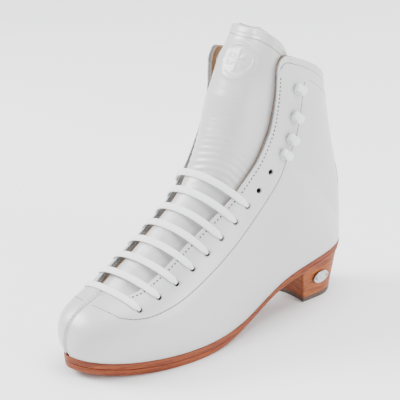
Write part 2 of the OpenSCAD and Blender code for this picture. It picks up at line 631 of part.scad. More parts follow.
// Flat tube along a route
module ribbon(path, h, n) {
    m = len(path);
    rings = [for (i = [0:m - 1]) let(
            d = unit(path[min(i + 1, m - 1)][0] - path[max(i - 1, 0)][0]),
            up = unit(cross(path[i][1], d)),
            across = cross(d, up))
        [for (j = [0:n - 1]) let(a = j * 360 / n)
            path[i][0] + across * path[i][2] / 2 * cos(a) + up * h / 2 * sin(a)]];
    polyhedron(flat(rings), concat([[for (j = [0:n - 1]) j]], [[for (j = [n - 1:-1:0]) (m - 1) * n + j]],
        [for (i = [0:m - 2], j = [0:n - 1], h2 = [0, 1]) let(p = i * n + j, q = i * n + (j + 1) % n)
            h2 == 0 ? [p, p + n, q + n] : [p, q + n, q]]));
}
module lace() {
    color(white) ribbon(lace_path, lace_t, 8);
}
module tip(a, b) {
    d = unit(b - a);
    translate(b + d * 0.3)
        rotate([0, acos(d[2]), atan2(d[1], d[0])])
            cylinder(r = 1.3, h = 20, $fn = 16);
}
module lace_tips() {
    color(metal) {
        tip(tail_low[1][0], tail_low[0][0]);
        tip(tail_high[6][0], tail_high[7][0]);
    }
}

outsole();
midsole();
shank();
insole_board();
sock_liner();
heel_lift(1);  // heel_lift_1
heel_lift(2);  // heel_lift_2
heel_lift(3);  // heel_lift_3
heel_lift(4);  // heel_lift_4
heel_lift(5);  // heel_lift_5
heel_lift(6);  // heel_lift_6
heel_top_piece();
heel_nails();
heel_badge();
badge_nails();
quarter_left();
quarter_right();
lining_left();
lining_right();
facing_reinforcement_left();
facing_reinforcement_right();
side_interlining_left();
side_interlining_right();
toe_puff();
heel_counter_left();
heel_counter_right();
ankle_padding_left();
ankle_padding_right();
collar_padding_left();
collar_padding_right();
backstay();
tongue_lower_face();
tongue_lower_foam();
tongue_lower_lining();
tongue_upper_face();
tongue_upper_foam();
tongue_upper_lining();
tongue_emblem();
eyelets_left();
eyelets_right();
hook(1, 0);  // hook_left_1
hook(1, 1);  // hook_left_2
hook(1, 2);  // hook_left_3
hook(1, 3);  // hook_left_4
hook(-1, 0);  // hook_right_1
hook(-1, 1);  // hook_right_2
hook(-1, 2);  // hook_right_3
hook(-1, 3);  // hook_right_4
hook_rivets();
lace();
lace_tips();
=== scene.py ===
"""Looks of the skating boot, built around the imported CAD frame. Lengths in the geometry section are millimetres."""
import math
import bmesh
import bpy
import numpy as np
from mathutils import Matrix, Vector


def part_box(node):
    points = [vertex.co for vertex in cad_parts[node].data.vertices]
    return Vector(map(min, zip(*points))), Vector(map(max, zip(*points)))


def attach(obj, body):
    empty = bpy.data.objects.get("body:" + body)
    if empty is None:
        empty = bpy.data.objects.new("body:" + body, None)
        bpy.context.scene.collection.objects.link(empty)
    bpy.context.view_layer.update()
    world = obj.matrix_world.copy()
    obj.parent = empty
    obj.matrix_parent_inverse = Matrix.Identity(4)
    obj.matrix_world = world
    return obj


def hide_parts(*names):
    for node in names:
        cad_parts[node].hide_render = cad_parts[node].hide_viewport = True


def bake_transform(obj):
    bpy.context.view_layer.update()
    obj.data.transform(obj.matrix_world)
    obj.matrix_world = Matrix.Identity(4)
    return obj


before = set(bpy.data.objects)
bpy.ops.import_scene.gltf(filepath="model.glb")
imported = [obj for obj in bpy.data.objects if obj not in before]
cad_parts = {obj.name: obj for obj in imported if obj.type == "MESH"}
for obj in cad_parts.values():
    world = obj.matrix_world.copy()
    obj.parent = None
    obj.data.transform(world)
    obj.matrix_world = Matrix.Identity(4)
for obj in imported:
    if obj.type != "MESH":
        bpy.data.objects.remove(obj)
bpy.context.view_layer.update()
MM = 0.001

# ---------------------------------------------------------------- shape of the boot
# Sections of the boot, as in part.scad, in millimetres: front [u, z], bottom [u, z], centre x at the front and at the
# bottom, half widths [bottom, widest] of the outer and of the inner side, height of the widest place, shape, skew
ROWS = [
    [(255.5, 17), (255.5, 16.5), -4, -4, (0, 0), (0, 0), 0.30, (0.50, 0.05, 0.85, 0.40, 0), 0.00],
    [(258, 24), (254, 16), -4, -4, (9, 11), (7, 8), 0.35, (1, 0.15, 0.90, 0.60, 0), 0.02],
    [(257, 36), (247, 14.5), -4, -4, (19, 22), (15, 16), 0.40, (1, 0.15, 0.90, 0.60, 0), 0.04],
    [(249, 47), (232, 12.5), -4, -3, (29, 32), (24, 25), 0.42, (1, 0.15, 0.90, 0.55, 0), 0.07],
    [(235, 54), (213, 11), -3, -2, (36, 39), (31, 31), 0.42, (1, 0.15, 0.90, 0.50, 0), 0.10],
    [(219, 60), (192, 10), -3, -1, (40, 44), (36, 35), 0.42, (1, 0.15, 0.90, 0.45, 0), 0.13],
    [(202, 70), (170, 10), -3, 0, (41, 46), (37, 38), 0.42, (1, 0.15, 0.88, 0.42, 0), 0.15],
    [(185, 82), (148, 10.5), -2, 1, (38, 45), (34, 38), 0.42, (1, 0.15, 0.86, 0.42, 0), 0.17],
    [(169, 95), (126, 14.5), -2, 2, (34, 43), (29, 37), 0.42, (1, 0.18, 0.85, 0.42, 0), 0.18],
    [(155, 107), (104, 23.5), -1, 3, (30, 42), (27, 37), 0.42, (1, 0.18, 0.85, 0.42, 0), 0.18],
    [(144, 119), (82, 33), 0, 3, (28, 40), (27, 39), 0.42, (1, 0.18, 0.85, 0.45, 0), 0.18],
    [(136, 131), (60, 39.5), 0, 3, (30, 39), (28, 39), 0.42, (1, 0.18, 0.85, 0.48, 0.08), 0.18],
    [(130, 143), (38, 43.5), 0, 2, (31, 38), (29, 38), 0.42, (0.95, 0.15, 0.86, 0.50, 0.2), 0.17],
    [(125, 154), (18, 45), 0, 1, (26, 37), (25, 38), 0.45, (0.90, 0.10, 0.88, 0.52, 0.3), 0.16],
    [(121, 164), (5, 46), 1, 0, (14, 35), (14, 37.5), 0.48, (0.75, 0.05, 0.88, 0.55, 0.38), 0.16],
    [(118, 173), (-1, 46.5), 1, -1, (3, 34), (3, 38), 0.50, (0.60, 0, 0.88, 0.55, 0.42), 0.16],
    [(116, 181), (-2.5, 49), 1, -1, (0, 34), (0, 38.5), 0.50, (0.60, 0, 0.88, 0.55, 0.4), 0.16],
    [(114, 189), (-1.5, 66), 1, -1, (0, 34), (0, 39), 0.50, (0.60, 0, 0.88, 0.55, 0.36), 0.16],
    [(112, 197), (3, 92), 1, -1, (0, 34), (0, 39), 0.50, (0.60, 0, 0.88, 0.55, 0.34), 0.16],
    [(111, 205), (11, 120), 1, -2, (0, 35), (0, 39.5), 0.50, (0.60, 0, 0.88, 0.55, 0.32), 0.16],
    [(110, 213), (17, 148), 1, -3, (0, 35), (0, 39.5), 0.50, (0.60, 0, 0.88, 0.55, 0.28), 0.16],
    [(109, 222), (21.5, 174), 1, -4, (0, 35), (0, 39), 0.50, (0.60, 0, 0.88, 0.55, 0.24), 0.16],
    [(109, 231), (24.5, 196), 1, -5, (0, 36), (0, 39), 0.50, (0.60, 0, 0.88, 0.55, 0.2), 0.16]]
MID_X, MID_U = 0.6, 127.0
LAST = len(ROWS) - 3


def mix(a, b, k):
    return a + (b - a) * k


def section(row, side):
    front, low, front_x, low_x, outer, inner, v_wide, (x3, v3, ku, kt, full), skew = row
    ku, kt = (ku, kt) if side > 0 else (ku + 0.3 * full, kt + full)
    b, w = outer if side > 0 else inner
    cs = [(b, 0), (w * x3, v3), (w, v_wide), (w * ku, mix(v_wide, 1, 0.62)), (w * kt, 1), (0, 1)]
    return [(mix(low_x, front_x, v) + side * c, mix(low[0], front[0], v) - skew * side * c, mix(low[1], front[1], v))
            for c, v in cs]


NETS = {side: np.array([section(r, side) for r in ROWS]) for side in (-1, 1)}


def weights(x, m):
    k = np.minimum(np.floor(x), m - 1)
    l1, l2, l3 = x - k, x - np.maximum(k - 1, 0), x - np.maximum(k - 2, 0)
    r1, r2, r3 = k + 1 - x, np.minimum(k + 2, m) - x, np.minimum(k + 3, m) - x
    a, b = r1 / (r1 + l2), l1 / (r2 + l1)
    c = r1 * a / (r1 + l3)
    d = (l2 * a + r2 * b) / (r2 + l2)
    e = l1 * b / (r3 + l1)
    return k.astype(int), np.stack([r1 * c, l3 * c + r2 * d, l2 * d + r3 * e, l1 * e], -1)


def net_point(side, t, s):
    net = NETS[side]
    k, a = weights(np.clip(t, 0, 0.9999) * LAST, LAST)
    l, b = weights(np.clip(s, 0, 0.9999) * 3, 3)
    out = np.zeros(t.shape + (3,))
    for i in range(4):
        for j in range(4):
            out += (a[..., i] * b[..., j])[..., None] * net[k + i, l + j]
    return out


def spot(side, t, s):
    """Point [x, u, z] on the outside: t from toe to top, s from the bottom to the front centre and past it."""
    t, s = np.broadcast_arrays(np.asarray(t, float), np.asarray(s, float))
    hi = t > 0.97
    tt = np.where(hi, 0.97, t)
    over_front, over_back = s > 1, s < 0
    sm = np.where(over_front, 2 - s, np.where(over_back, np.where(t > 0.74, -s, 0), s))
    other = over_front | (over_back & (t > 0.74))

    def at(q):
        same, far = net_point(side, q, sm), net_point(-side, q, sm)
        return np.where(other[..., None], far, same)
    p = at(tt)
    if hi.any():
        step = (p - at(tt - 0.02)) / 0.02
        p = p + np.where(hi[..., None], step * (t - tt)[..., None], 0)
    return p


def normal(side, t, s, e=0.004):
    t, s = np.broadcast_arrays(np.asarray(t, float), np.asarray(s, float))
    ds = spot(side, t, s + e) - spot(side, t, s - e)
    dt = spot(side, t + e, s) - spot(side, t - e, s)
    n = -side * np.cross(dt, ds)
    return n / np.linalg.norm(n, axis=-1, keepdims=True)


def place(p):
    return np.stack([p[..., 0] - MID_X, MID_U - p[..., 1], p[..., 2]], -1)


def skin(side, t, s, d=0.0):
    d = np.asarray(d, float)
    return place(spot(side, t, s) - normal(side, t, s) * d[..., None])


FACING = np.array([(0.185, 1), (0.188, 0.93), (0.200, 0.875), (0.220, 0.850), (0.26, 0.838), (0.33, 0.824),
                   (0.41, 0.792), (0.49, 0.756), (0.586, 0.725), (0.72, 0.693), (0.84, 0.680), (0.985, 0.664)])
WING = np.array([(0.14, 1), (0.145, 0.875), (0.151, 0.76), (0.168, 0.682), (0.19, 0.632), (0.215, 0.609),
                 (0.25, 0.588), (0.35, 0.570), (0.54, 0.574), (0.67, 0.557), (0.77, 0.524), (0.85, 0.489),
                 (0.93, 0.439), (0.985, 0.381)])
T_TOP, T_THROAT = 0.985, 0.185


def facing_edge(t):
    return np.where(t < T_THROAT, 1.0, np.interp(t, FACING[:, 0], FACING[:, 1]))


def smooth(k):
    c = np.clip(k, 0, 1)
    return c * c * (3 - 2 * c)


# Depths of the layers below the outside of the upper
OUTER_T, GAP, MIDDLE_T, LINING_T = 2.0, 0.2, 1.3, 1.1
LINING_D = OUTER_T + MIDDLE_T + 2 * GAP
INSIDE_D = LINING_D + LINING_T
TONGUE_D = INSIDE_D + 0.4
EYELETS = [(0.190, 0.737), (0.232, 0.725), (0.272, 0.711), (0.311, 0.697), (0.350, 0.686), (0.390, 0.678),
           (0.435, 0.666), (0.481, 0.656), (0.531, 0.646), (0.597, 0.631)]
HOOKS = [(0.694, 0.575), (0.782, 0.547), (0.859, 0.516), (0.938, 0.478)]
BULGE = np.array([(0.20, 0.5), (0.24, 3.2), (0.30, 4.4), (0.50, 4.4), (0.60, 6.5), (0.75, 6.0), (0.85, 3.0),
                  (0.93, -3), (0.99, -9), (1.04, -14)])
INNER_DROP = np.array([(0.30, 0), (0.50, 1.5), (0.60, 6), (0.85, 7), (0.90, 6.6), (0.93, 6.1), (0.96, 5.3),
                       (1.0, 4.2), (1.04, 3.6)])
TONGUE_TOP = np.array([(0.50, 0.985), (0.52, 0.994), (0.56, 1.004), (0.60, 1.012), (0.66, 1.018), (0.72, 1.022),
                       (0.80, 1.022), (0.90, 1.016), (1, 1.014)])


def wing_edge(t):
    return np.interp(t, WING[:, 0], WING[:, 1])


def top_at(side, s, edge):
    c = np.clip(1 - (edge - s) / 0.10, 0, 1)
    drop = 0.012 * smooth(s / edge) if side < 0 else 0
    return T_TOP + 0.012 * np.sin(np.pi * np.clip(s / edge, 0, 1)) - 0.045 * (1 - np.sqrt(1 - c * c)) - drop


def tongue_depth(side, t, s):
    edge = facing_edge(t)
    rise = np.interp(t, BULGE[:, 0], BULGE[:, 1]) * smooth((s - edge) / (1 - edge) * 1.2)
    drop = np.interp(t, INNER_DROP[:, 0], INNER_DROP[:, 1]) * smooth((1 - s) / 0.12) if side < 0 else 0
    if side < 0:
        drop = drop + 9 * smooth((t - 0.93) / 0.06) * smooth((0.93 - s) / 0.22)
    return TONGUE_D - rise + drop


def tangents(side, t, s, e=0.004):
    """Unit vectors along t and along s on the boot, in the frame."""
    dt = place(spot(side, t + e, s)) - place(spot(side, t - e, s))
    ds = place(spot(side, t, s + e)) - place(spot(side, t, s - e))
    return (dt / np.linalg.norm(dt, axis=-1, keepdims=True), ds / np.linalg.norm(ds, axis=-1, keepdims=True))


def out(side, t, s):
    n = normal(side, t, s)
    return np.stack([n[..., 0], -n[..., 1], n[..., 2]], -1)


# ---------------------------------------------------------------- mesh tools
def new_mesh(name, verts, faces, mats, index=None, smooth_shade=True, body="boot", slot=None, replaces=()):
    """Makes a piece from points in millimetres, outward facing, and ties it to its body. The slot argument is not used.
    """
    mesh = bpy.data.meshes.new(name)
    mesh.from_pydata([tuple(v) for v in np.asarray(verts, float) * MM], [], [tuple(int(i) for i in f) for f in faces])
    for m in mats if isinstance(mats, (list, tuple)) else [mats]:
        mesh.materials.append(m)
    if index is not None:
        mesh.polygons.foreach_set("material_index", np.asarray(index, np.int32))
    bm = bmesh.new()
    bm.from_mesh(mesh)
    bmesh.ops.remove_doubles(bm, verts=bm.verts, dist=1e-6)
    bmesh.ops.recalc_face_normals(bm, faces=bm.faces)
    bm.to_mesh(mesh)
    bm.free()
    if smooth_shade:
        mesh.shade_smooth()
    obj = bpy.data.objects.new(name, mesh)
    bpy.context.scene.collection.objects.link(obj)
    if body:
        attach(obj, body)
    if replaces:
        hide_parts(*replaces)
    return obj


def quads(rows, cols, base=0, loop_rows=False, loop_cols=False):
    i = np.arange(rows if loop_rows else rows - 1)
    j = np.arange(cols if loop_cols else cols - 1)
    i, j = [a.ravel() for a in np.meshgrid(i, j, indexing="ij")]
    i2, j2 = (i + 1) % rows, (j + 1) % cols
    return np.stack([i * cols + j, i * cols + j2, i2 * cols + j2, i2 * cols + j], 1) + base


def shell(name, a, b, mats, cut=None, **kw):
    """Closed solid between the outside grid a and the inside grid b. Faces: 0 outside, 1 rims, 2 inside."""
    rows, cols = a.shape[:2]
    n = rows * cols
    faces = [quads(rows, cols), quads(rows, cols, n)[:, ::-1]]
    ring = ([(0, j) for j in range(cols)] + [(i, cols - 1) for i in range(1, rows)]
            + [(rows - 1, j) for j in range(cols - 2, -1, -1)] + [(i, 0) for i in range(rows - 2, 0, -1)])
    ring = np.array([i * cols + j for i, j in ring])
    nxt = np.roll(ring, -1)
    faces.append(np.stack([ring, ring + n, nxt + n, nxt], 1))
    index = np.concatenate([np.zeros(len(faces[0])), np.full(len(faces[1]), 2), np.ones(len(faces[2]))])
    index = np.minimum(index, len(mats) - 1)
    if cut is not None:
        index[:len(faces[0])] = np.where(cut.ravel(), 1, index[:len(faces[0])])
    verts = np.concatenate([a.reshape(-1, 3), b.reshape(-1, 3)])
    return new_mesh(name, verts, np.concatenate(faces), mats, index, **kw)


def tube(points, across, width, height, sides=12, power=2.0, close_ends=True):
    """Flat or round tube along points; across is the direction of its wide side at each point."""
    p = np.asarray(points, float)
    d = np.gradient(p, axis=0)
    d /= np.linalg.norm(d, axis=1, keepdims=True)
    up = np.cross(across, d)
    up /= np.linalg.norm(up, axis=1, keepdims=True)
    wide = np.cross(d, up)
    a = np.linspace(0, 2 * np.pi, sides, endpoint=False)
    c, s = np.cos(a), np.sin(a)
    c, s = np.sign(c) * np.abs(c) ** (2 / power), np.sign(s) * np.abs(s) ** (2 / power)
    w = np.broadcast_to(np.asarray(width, float), (len(p),)) / 2
    h = np.broadcast_to(np.asarray(height, float), (len(p),)) / 2
    v = p[:, None] + wide[:, None] * (w[:, None] * c)[..., None] + up[:, None] * (h[:, None] * s)[..., None]
    f = [tuple(q) for q in quads(len(p), sides, loop_cols=True)]
    if close_ends:
        f += [tuple(range(sides)), tuple(range((len(p) - 1) * sides, len(p) * sides))[::-1]]
    return v.reshape(-1, 3), f


def join(parts):
    """Joins several (verts, faces) into one."""
    vs, fs, base = [], [], 0
    for v, f in parts:
        vs.append(v)
        fs += [tuple(int(i) + base for i in q) for q in f]
        base += len(v)
    return np.concatenate(vs), fs


def lathe(profile, n=24, scale=(1, 1)):
    """Solid of revolution about z from [radius, z] points, both ends on the axis."""
    prof = np.asarray(profile, float)
    a = np.linspace(0, 2 * np.pi, n, endpoint=False)
    ring = prof[1:-1]
    v = np.stack([ring[:, :1] * np.cos(a) * scale[0], ring[:, :1] * np.sin(a) * scale[1],
                  np.repeat(ring[:, 1:], n, 1)], -1).reshape(-1, 3)
    f = [tuple(q) for q in quads(len(ring), n, loop_cols=True)]
    lo, hi = len(v), len(v) + 1
    v = np.concatenate([v, [[0, 0, prof[0, 1]], [0, 0, prof[-1, 1]]]])
    m = (len(ring) - 1) * n
    f += [(lo, (j + 1) % n, j) for j in range(n)] + [(hi, m + j, m + (j + 1) % n) for j in range(n)]
    return v, f


def seat(verts, side, t, s, d=0.0):
    """Moves points from a local frame (x towards the heel, z outwards) onto the boot."""
    n = out(side, np.array(t), np.array(s))
    _, ds = tangents(side, np.array(t), np.array(s))
    x = -ds + n * (ds @ n)
    x /= np.linalg.norm(x)
    y = np.cross(n, x)
    o = skin(side, np.array(t), np.array(s), np.array(d))
    return o + verts[:, :1] * x + verts[:, 1:2] * y + verts[:, 2:] * n


# ---------------------------------------------------------------- materials
class Nodes:
    """A Principled material with a few helpers; textures use object coordinates, in metres."""

    def __init__(self, name, color, rough, **sockets):
        self.mat = bpy.data.materials.new(name)
        self.mat.use_nodes = True
        self.tree = self.mat.node_tree
        self.bsdf = self.tree.nodes["Principled BSDF"]
        self.bsdf.inputs["Base Color"].default_value = (*color, 1)
        self.bsdf.inputs["Roughness"].default_value = rough
        for key, value in sockets.items():
            self.bsdf.inputs[key.replace("_", " ")].default_value = value
        self.coord = self.tree.nodes.new("ShaderNodeTexCoord").outputs["Object"]
        self.normal = None

    def link(self, a, b):
        self.tree.links.new(a, b)

    def stretched(self, scale, rotation=(0, 0, 0)):
        node = self.tree.nodes.new("ShaderNodeMapping")
        node.inputs["Scale"].default_value = scale
        node.inputs["Rotation"].default_value = rotation
        self.link(self.coord, node.inputs["Vector"])
        return node.outputs["Vector"]

    def noise(self, scale, detail=4, rough=0.55, vector=None, distortion=0.0):
        node = self.tree.nodes.new("ShaderNodeTexNoise")
        for key, value in (("Scale", scale), ("Detail", detail), ("Roughness", rough), ("Distortion", distortion)):
            node.inputs[key].default_value = value
        self.link(vector or self.coord, node.inputs["Vector"])
        return node.outputs["Fac"]

    def cells(self, scale, vector=None):
        node = self.tree.nodes.new("ShaderNodeTexVoronoi")
        node.inputs["Scale"].default_value = scale
        self.link(vector or self.coord, node.inputs["Vector"])
        return node.outputs["Distance"]

    def ramp(self, fac, stops):
        node = self.tree.nodes.new("ShaderNodeValToRGB")
        while len(node.color_ramp.elements) < len(stops):
            node.color_ramp.elements.new(0.5)
        for e, (pos, col) in zip(node.color_ramp.elements, stops):
            e.position = pos
            e.color = (*col, 1) if len(col) == 3 else col
        self.link(fac, node.inputs["Fac"])
        return node.outputs["Color"]

    def span(self, fac, lo, hi, a=0.0, b=1.0):
        node = self.tree.nodes.new("ShaderNodeMapRange")
        for key, value in (("From Min", lo), ("From Max", hi), ("To Min", a), ("To Max", b)):
            node.inputs[key].default_value = value
        self.link(fac, node.inputs["Value"])
        return node.outputs["Result"]

    def blend(self, kind, fac, a, b):
        node = self.tree.nodes.new("ShaderNodeMix")
        node.data_type = "RGBA"
        node.blend_type = kind
        if isinstance(fac, float):
            node.inputs["Factor"].default_value = fac
        else:
            self.link(fac, node.inputs["Factor"])
        for sock, value in ((node.inputs[6], a), (node.inputs[7], b)):
            if isinstance(value, tuple):
                sock.default_value = (*value, 1)
            else:
                self.link(value, sock)
        return node.outputs[2]

    def bump(self, height, distance, strength=1.0):
        node = self.tree.nodes.new("ShaderNodeBump")
        node.inputs["Strength"].default_value = strength
        node.inputs["Distance"].default_value = distance
        self.link(height, node.inputs["Height"])
        if self.normal:
            self.link(self.normal, node.inputs["Normal"])
        self.normal = node.outputs["Normal"]
        self.link(self.normal, self.bsdf.inputs["Normal"])

    def color(self, out_socket):
        self.link(out_socket, self.bsdf.inputs["Base Color"])

    def rough(self, out_socket):
        self.link(out_socket, self.bsdf.inputs["Roughness"])


def leather_white(name, creases=0.0):
    m = Nodes(name, (0.52, 0.52, 0.515), 0.36, Specular_IOR_Level=0.6, Coat_Weight=0.3, Coat_Roughness=0.28)
    cloud = m.noise(16, 5, 0.6)
    m.color(m.ramp(cloud, [(0.30, (0.49, 0.49, 0.483)), (0.55, (0.535, 0.535, 0.53)), (0.8, (0.55, 0.55, 0.546))]))
    m.rough(m.span(m.noise(60, 4), 0.3, 0.7, 0.28, 0.42))
    m.bump(m.cells(1100, m.stretched((1, 1, 0.8))), 0.00004, 0.55)
    m.bump(m.noise(260, 5, 0.6), 0.00010, 0.5)
    m.bump(m.noise(28, 3), 0.0010, 0.35)
    if creases:
        m.bump(m.noise(34, 3, 0.5, m.stretched((1.0, 3.2, 6.0), (0.5, 0.2, 0.1)), 0.6), 0.0012, creases)
    return m.mat


def leather_tan(name="lining_tan"):
    m = Nodes(name, (0.42, 0.27, 0.17), 0.62)
    m.color(m.ramp(m.noise(90, 6, 0.65), [(0.3, (0.15, 0.075, 0.035)), (0.6, (0.24, 0.125, 0.062)),
                                          (0.8, (0.30, 0.17, 0.09))]))
    m.bump(m.cells(900), 0.00006, 0.6)
    m.bump(m.noise(300, 4), 0.0001, 0.5)
    return m.mat


def speckled_grey(name="cut_edge_grey", base=0.30):
    m = Nodes(name, (base, base, base), 0.9, Sheen_Weight=0.2)
    lo, hi = base * 0.55, base * 1.9
    m.color(m.ramp(m.noise(1500, 3, 0.7), [(0.35, (lo, lo, lo * 1.02)), (0.5, (base, base, base)),
                                           (0.68, (hi, hi, hi))]))
    m.bump(m.noise(1200, 3, 0.7), 0.0003, 0.7)
    return m.mat


def board(name="fibre_board"):
    m = Nodes(name, (0.5, 0.4, 0.28), 0.85)
    m.color(m.ramp(m.noise(400, 5, 0.7), [(0.3, (0.38, 0.29, 0.19)), (0.7, (0.58, 0.47, 0.33))]))
    m.bump(m.noise(900, 3), 0.0002, 0.5)
    return m.mat


def sole_leather(name, dark, mid, light, along=(1.5, 0.6, 22)):
    """Waxed cut edge: fine lines run along the layers, with darker and lighter fibres."""
    m = Nodes(name, mid, 0.5, Specular_IOR_Level=0.3, Coat_Weight=0.06, Coat_Roughness=0.3)
    lines = m.noise(40, 6, 0.68, m.stretched(along), 0.4)
    base = m.ramp(lines, [(0.28, dark), (0.46, mid), (0.62, light), (0.78, mid)])
    spots = m.ramp(m.noise(420, 4, 0.7), [(0.35, (0.75, 0.75, 0.75)), (0.7, (1.15, 1.15, 1.15))])
    m.color(m.blend("MULTIPLY", 0.7, base, spots))
    m.rough(m.span(lines, 0.3, 0.7, 0.45, 0.65))
    m.bump(lines, 0.0004, 0.5)
    m.bump(m.noise(800, 3), 0.0001, 0.4)
    return m.mat


def rubber_brown(name="heel_rubber"):
    m = Nodes(name, (0.07, 0.045, 0.035), 0.7)
    m.color(m.ramp(m.noise(500, 4, 0.7), [(0.35, (0.045, 0.03, 0.024)), (0.7, (0.11, 0.07, 0.05))]))
    m.bump(m.noise(900, 4), 0.0002, 0.6)
    return m.mat


def metal(name, color, rough, scratch=0.3):
    m = Nodes(name, color, rough, Metallic=1.0)
    m.rough(m.span(m.noise(300, 4, 0.6, m.stretched((1, 8, 1))), 0.3, 0.7, rough - 0.08, rough + 0.15))
    m.color(m.ramp(m.noise(350, 4), [(0.3, tuple(c * 0.75 for c in color)), (0.7, color)]))
    m.bump(m.noise(600, 3), 0.0001, scratch)
    return m.mat


def paint_white(name="hook_paint"):
    m = Nodes(name, (0.70, 0.71, 0.71), 0.22, Coat_Weight=0.6, Coat_Roughness=0.08)
    m.color(m.ramp(m.noise(260, 4), [(0.3, (0.68, 0.69, 0.69)), (0.7, (0.74, 0.75, 0.75))]))
    m.bump(m.noise(500, 3), 0.00005, 0.3)
    return m.mat


def woven(name="lace_cotton"):
    m = Nodes(name, (0.86, 0.86, 0.87), 0.8, Sheen_Weight=0.35, Sheen_Roughness=0.4)
    m.color(m.ramp(m.cells(1900), [(0.0, (0.90, 0.90, 0.91)), (0.6, (0.80, 0.80, 0.82))]))
    m.bump(m.cells(1900), 0.00025, 0.6)
    m.bump(m.noise(2600, 2), 0.0001, 0.5)
    return m.mat


def thread(name, color):
    m = Nodes(name, color, 0.75, Sheen_Weight=0.2)
    m.color(m.ramp(m.noise(2500, 2), [(0.35, tuple(c * 0.8 for c in color)), (0.65, color)]))
    m.bump(m.noise(3000, 2), 0.0001, 0.5)
    return m.mat


# Near-black material, used as painted shade in the needle holes.
def painted_hole_shade(name="needle_hole_painted_shade"):
    m = Nodes(name, (0.05, 0.05, 0.055), 0.8)
    m.color(m.ramp(m.noise(700, 3), [(0.3, (0.03, 0.03, 0.035)), (0.7, (0.08, 0.08, 0.09))]))
    return m.mat


def tip_plastic(name="clear_tip"):
    m = Nodes(name, (0.75, 0.76, 0.78), 0.2, Transmission_Weight=0.5, Coat_Weight=0.5)
    m.rough(m.span(m.noise(400, 3), 0.3, 0.7, 0.15, 0.3))
    return m.mat


WHITE = leather_white("white_leather")
WHITE_SOFT = leather_white("white_leather_tongue", 0.35)
TAN = leather_tan()
GREY = speckled_grey("cut_edge_grey", 0.16)
# The back strip's dark grey is painted shade: it stands for the shadow along the back of the boot at the lower
# Achilles.
STAY_SHADE = speckled_grey("back_strip_painted_shade", 0.13)
FOAM = speckled_grey("tongue_foam", 0.5)
BOARD = board()
SOLE = sole_leather("sole_edge", (0.085, 0.014, 0.003), (0.17, 0.03, 0.006), (0.25, 0.055, 0.012), (1.0, 1.0, 14))
STACK = sole_leather("heel_stack", (0.10, 0.02, 0.004), (0.21, 0.046, 0.009), (0.34, 0.10, 0.022), (1.2, 1.2, 13))
RUBBER = rubber_brown()
STEEL = metal("steel", (0.55, 0.55, 0.56), 0.35)
SILVER = metal("badge_silver", (0.62, 0.62, 0.64), 0.30, 0.6)
RIM = metal("eyelet_rim", (0.22, 0.22, 0.23), 0.45)
PAINT = paint_white()
LACE = woven()
THREAD = thread("thread_grey", (0.17, 0.16, 0.145))
THREAD_WHITE = thread("thread_white", (0.72, 0.71, 0.68))
HOLE_SHADE = painted_hole_shade()
TIP = tip_plastic()

# ---------------------------------------------------------------- upper
EDGE_R = 0.9          # rounding of the leather's cut edge, mm


def layer_grid(side, d, rows=210, cols=96, round_r=0.0, inset=0.0, inner=False):
    """Fine grid of a layer at depth d, with its edges rounded inwards over round_r."""
    t0 = np.concatenate([np.linspace(0.004, 0.15, 42)[:-1], np.linspace(0.15, 0.23, 46)[:-1],
                         np.linspace(0.23, 0.955, rows - 110), np.linspace(0.955, T_TOP, 26)[1:]])
    c = np.concatenate([np.linspace(0, 0.96, cols - 14)[:-1], 0.96 + 0.04 * (1 - (1 - np.linspace(0, 1, 15)) ** 1.8)])
    t0, c = np.meshgrid(t0, c, indexing="ij")
    edge = np.minimum(facing_edge(t0), 0.999)
    s = mix(0.002, edge, c)
    high = top_at(side, s, edge)
    t = np.where(t0 > 0.8, mix(0.8, high, (t0 - 0.8) / (T_TOP - 0.8)), t0)
    per_s = np.linalg.norm(place(spot(side, t, s + 0.002)) - place(spot(side, t, s - 0.002)), axis=-1) / 0.004
    per_t = np.linalg.norm(place(spot(side, t + 0.002, s)) - place(spot(side, t - 0.002, s)), axis=-1) / 0.004
    to_edge, to_top = (edge - s) * per_s, (high - t) * per_t
    near = np.minimum(np.where(t0 > T_THROAT, to_edge, 99), to_top)
    depth = np.full(t.shape, float(d))
    if round_r:
        k = np.clip(1 - near / round_r, 0, 1)
        depth += (-1 if inner else 1) * round_r * (1 - np.sqrt(1 - k * k)) * 0.9
    if inset:
        s = s - np.where(t0 > T_THROAT, inset / per_s * (c > 0.5), 0)
        t = t - inset / per_t * (t0 > 0.9)
    if not inner and d == 0:
        seam = np.where(t0 <= T_THROAT, (1 - s) * per_s, 99)
        depth += 0.55 * np.exp(-(seam / 0.9) ** 2)
        # The collar is padded: a soft roll under the top edge, and a shallow line where it is stitched
        roll = -0.5 * np.exp(-((to_top - 2.4) / 1.6) ** 2) * (s < edge - 0.12)
        depth += roll + 0.25 * np.exp(-((to_top - 4.6) / 0.7) ** 2)
        depth += 0.16 * np.exp(-((to_edge - 3.4) / 0.6) ** 2) * (t0 > 0.2)
        depth += 0.14 * np.exp(-((s - wing_edge(t)) * per_s / 0.7) ** 2) * (t0 > 0.145)
    return skin(side, t, s, depth)


def hole_cutter(side, places, r):
    parts = []
    for t, s in places:
        v, f = lathe([[0, -9], [r, -9], [r, -1.2], [r + 0.25, -0.4], [r + 0.6, 2.5], [0, 2.5]], 20)
        parts.append((seat(v, side, t, s), f))
    v, f = join(parts)
    obj = new_mesh("cutter", v, f, HOLE_SHADE, smooth_shade=False, body=None)
    return obj


def cut_holes(obj, side, r):
    tool = hole_cutter(side, EYELETS, r)
    mod = obj.modifiers.new("holes", "BOOLEAN")
    mod.operation, mod.object, mod.solver = "DIFFERENCE", tool, "EXACT"
    depsgraph = bpy.context.evaluated_depsgraph_get()
    mesh = bpy.data.meshes.new_from_object(obj.evaluated_get(depsgraph))
    obj.modifiers.clear()
    obj.data = mesh
    bpy.data.objects.remove(tool)


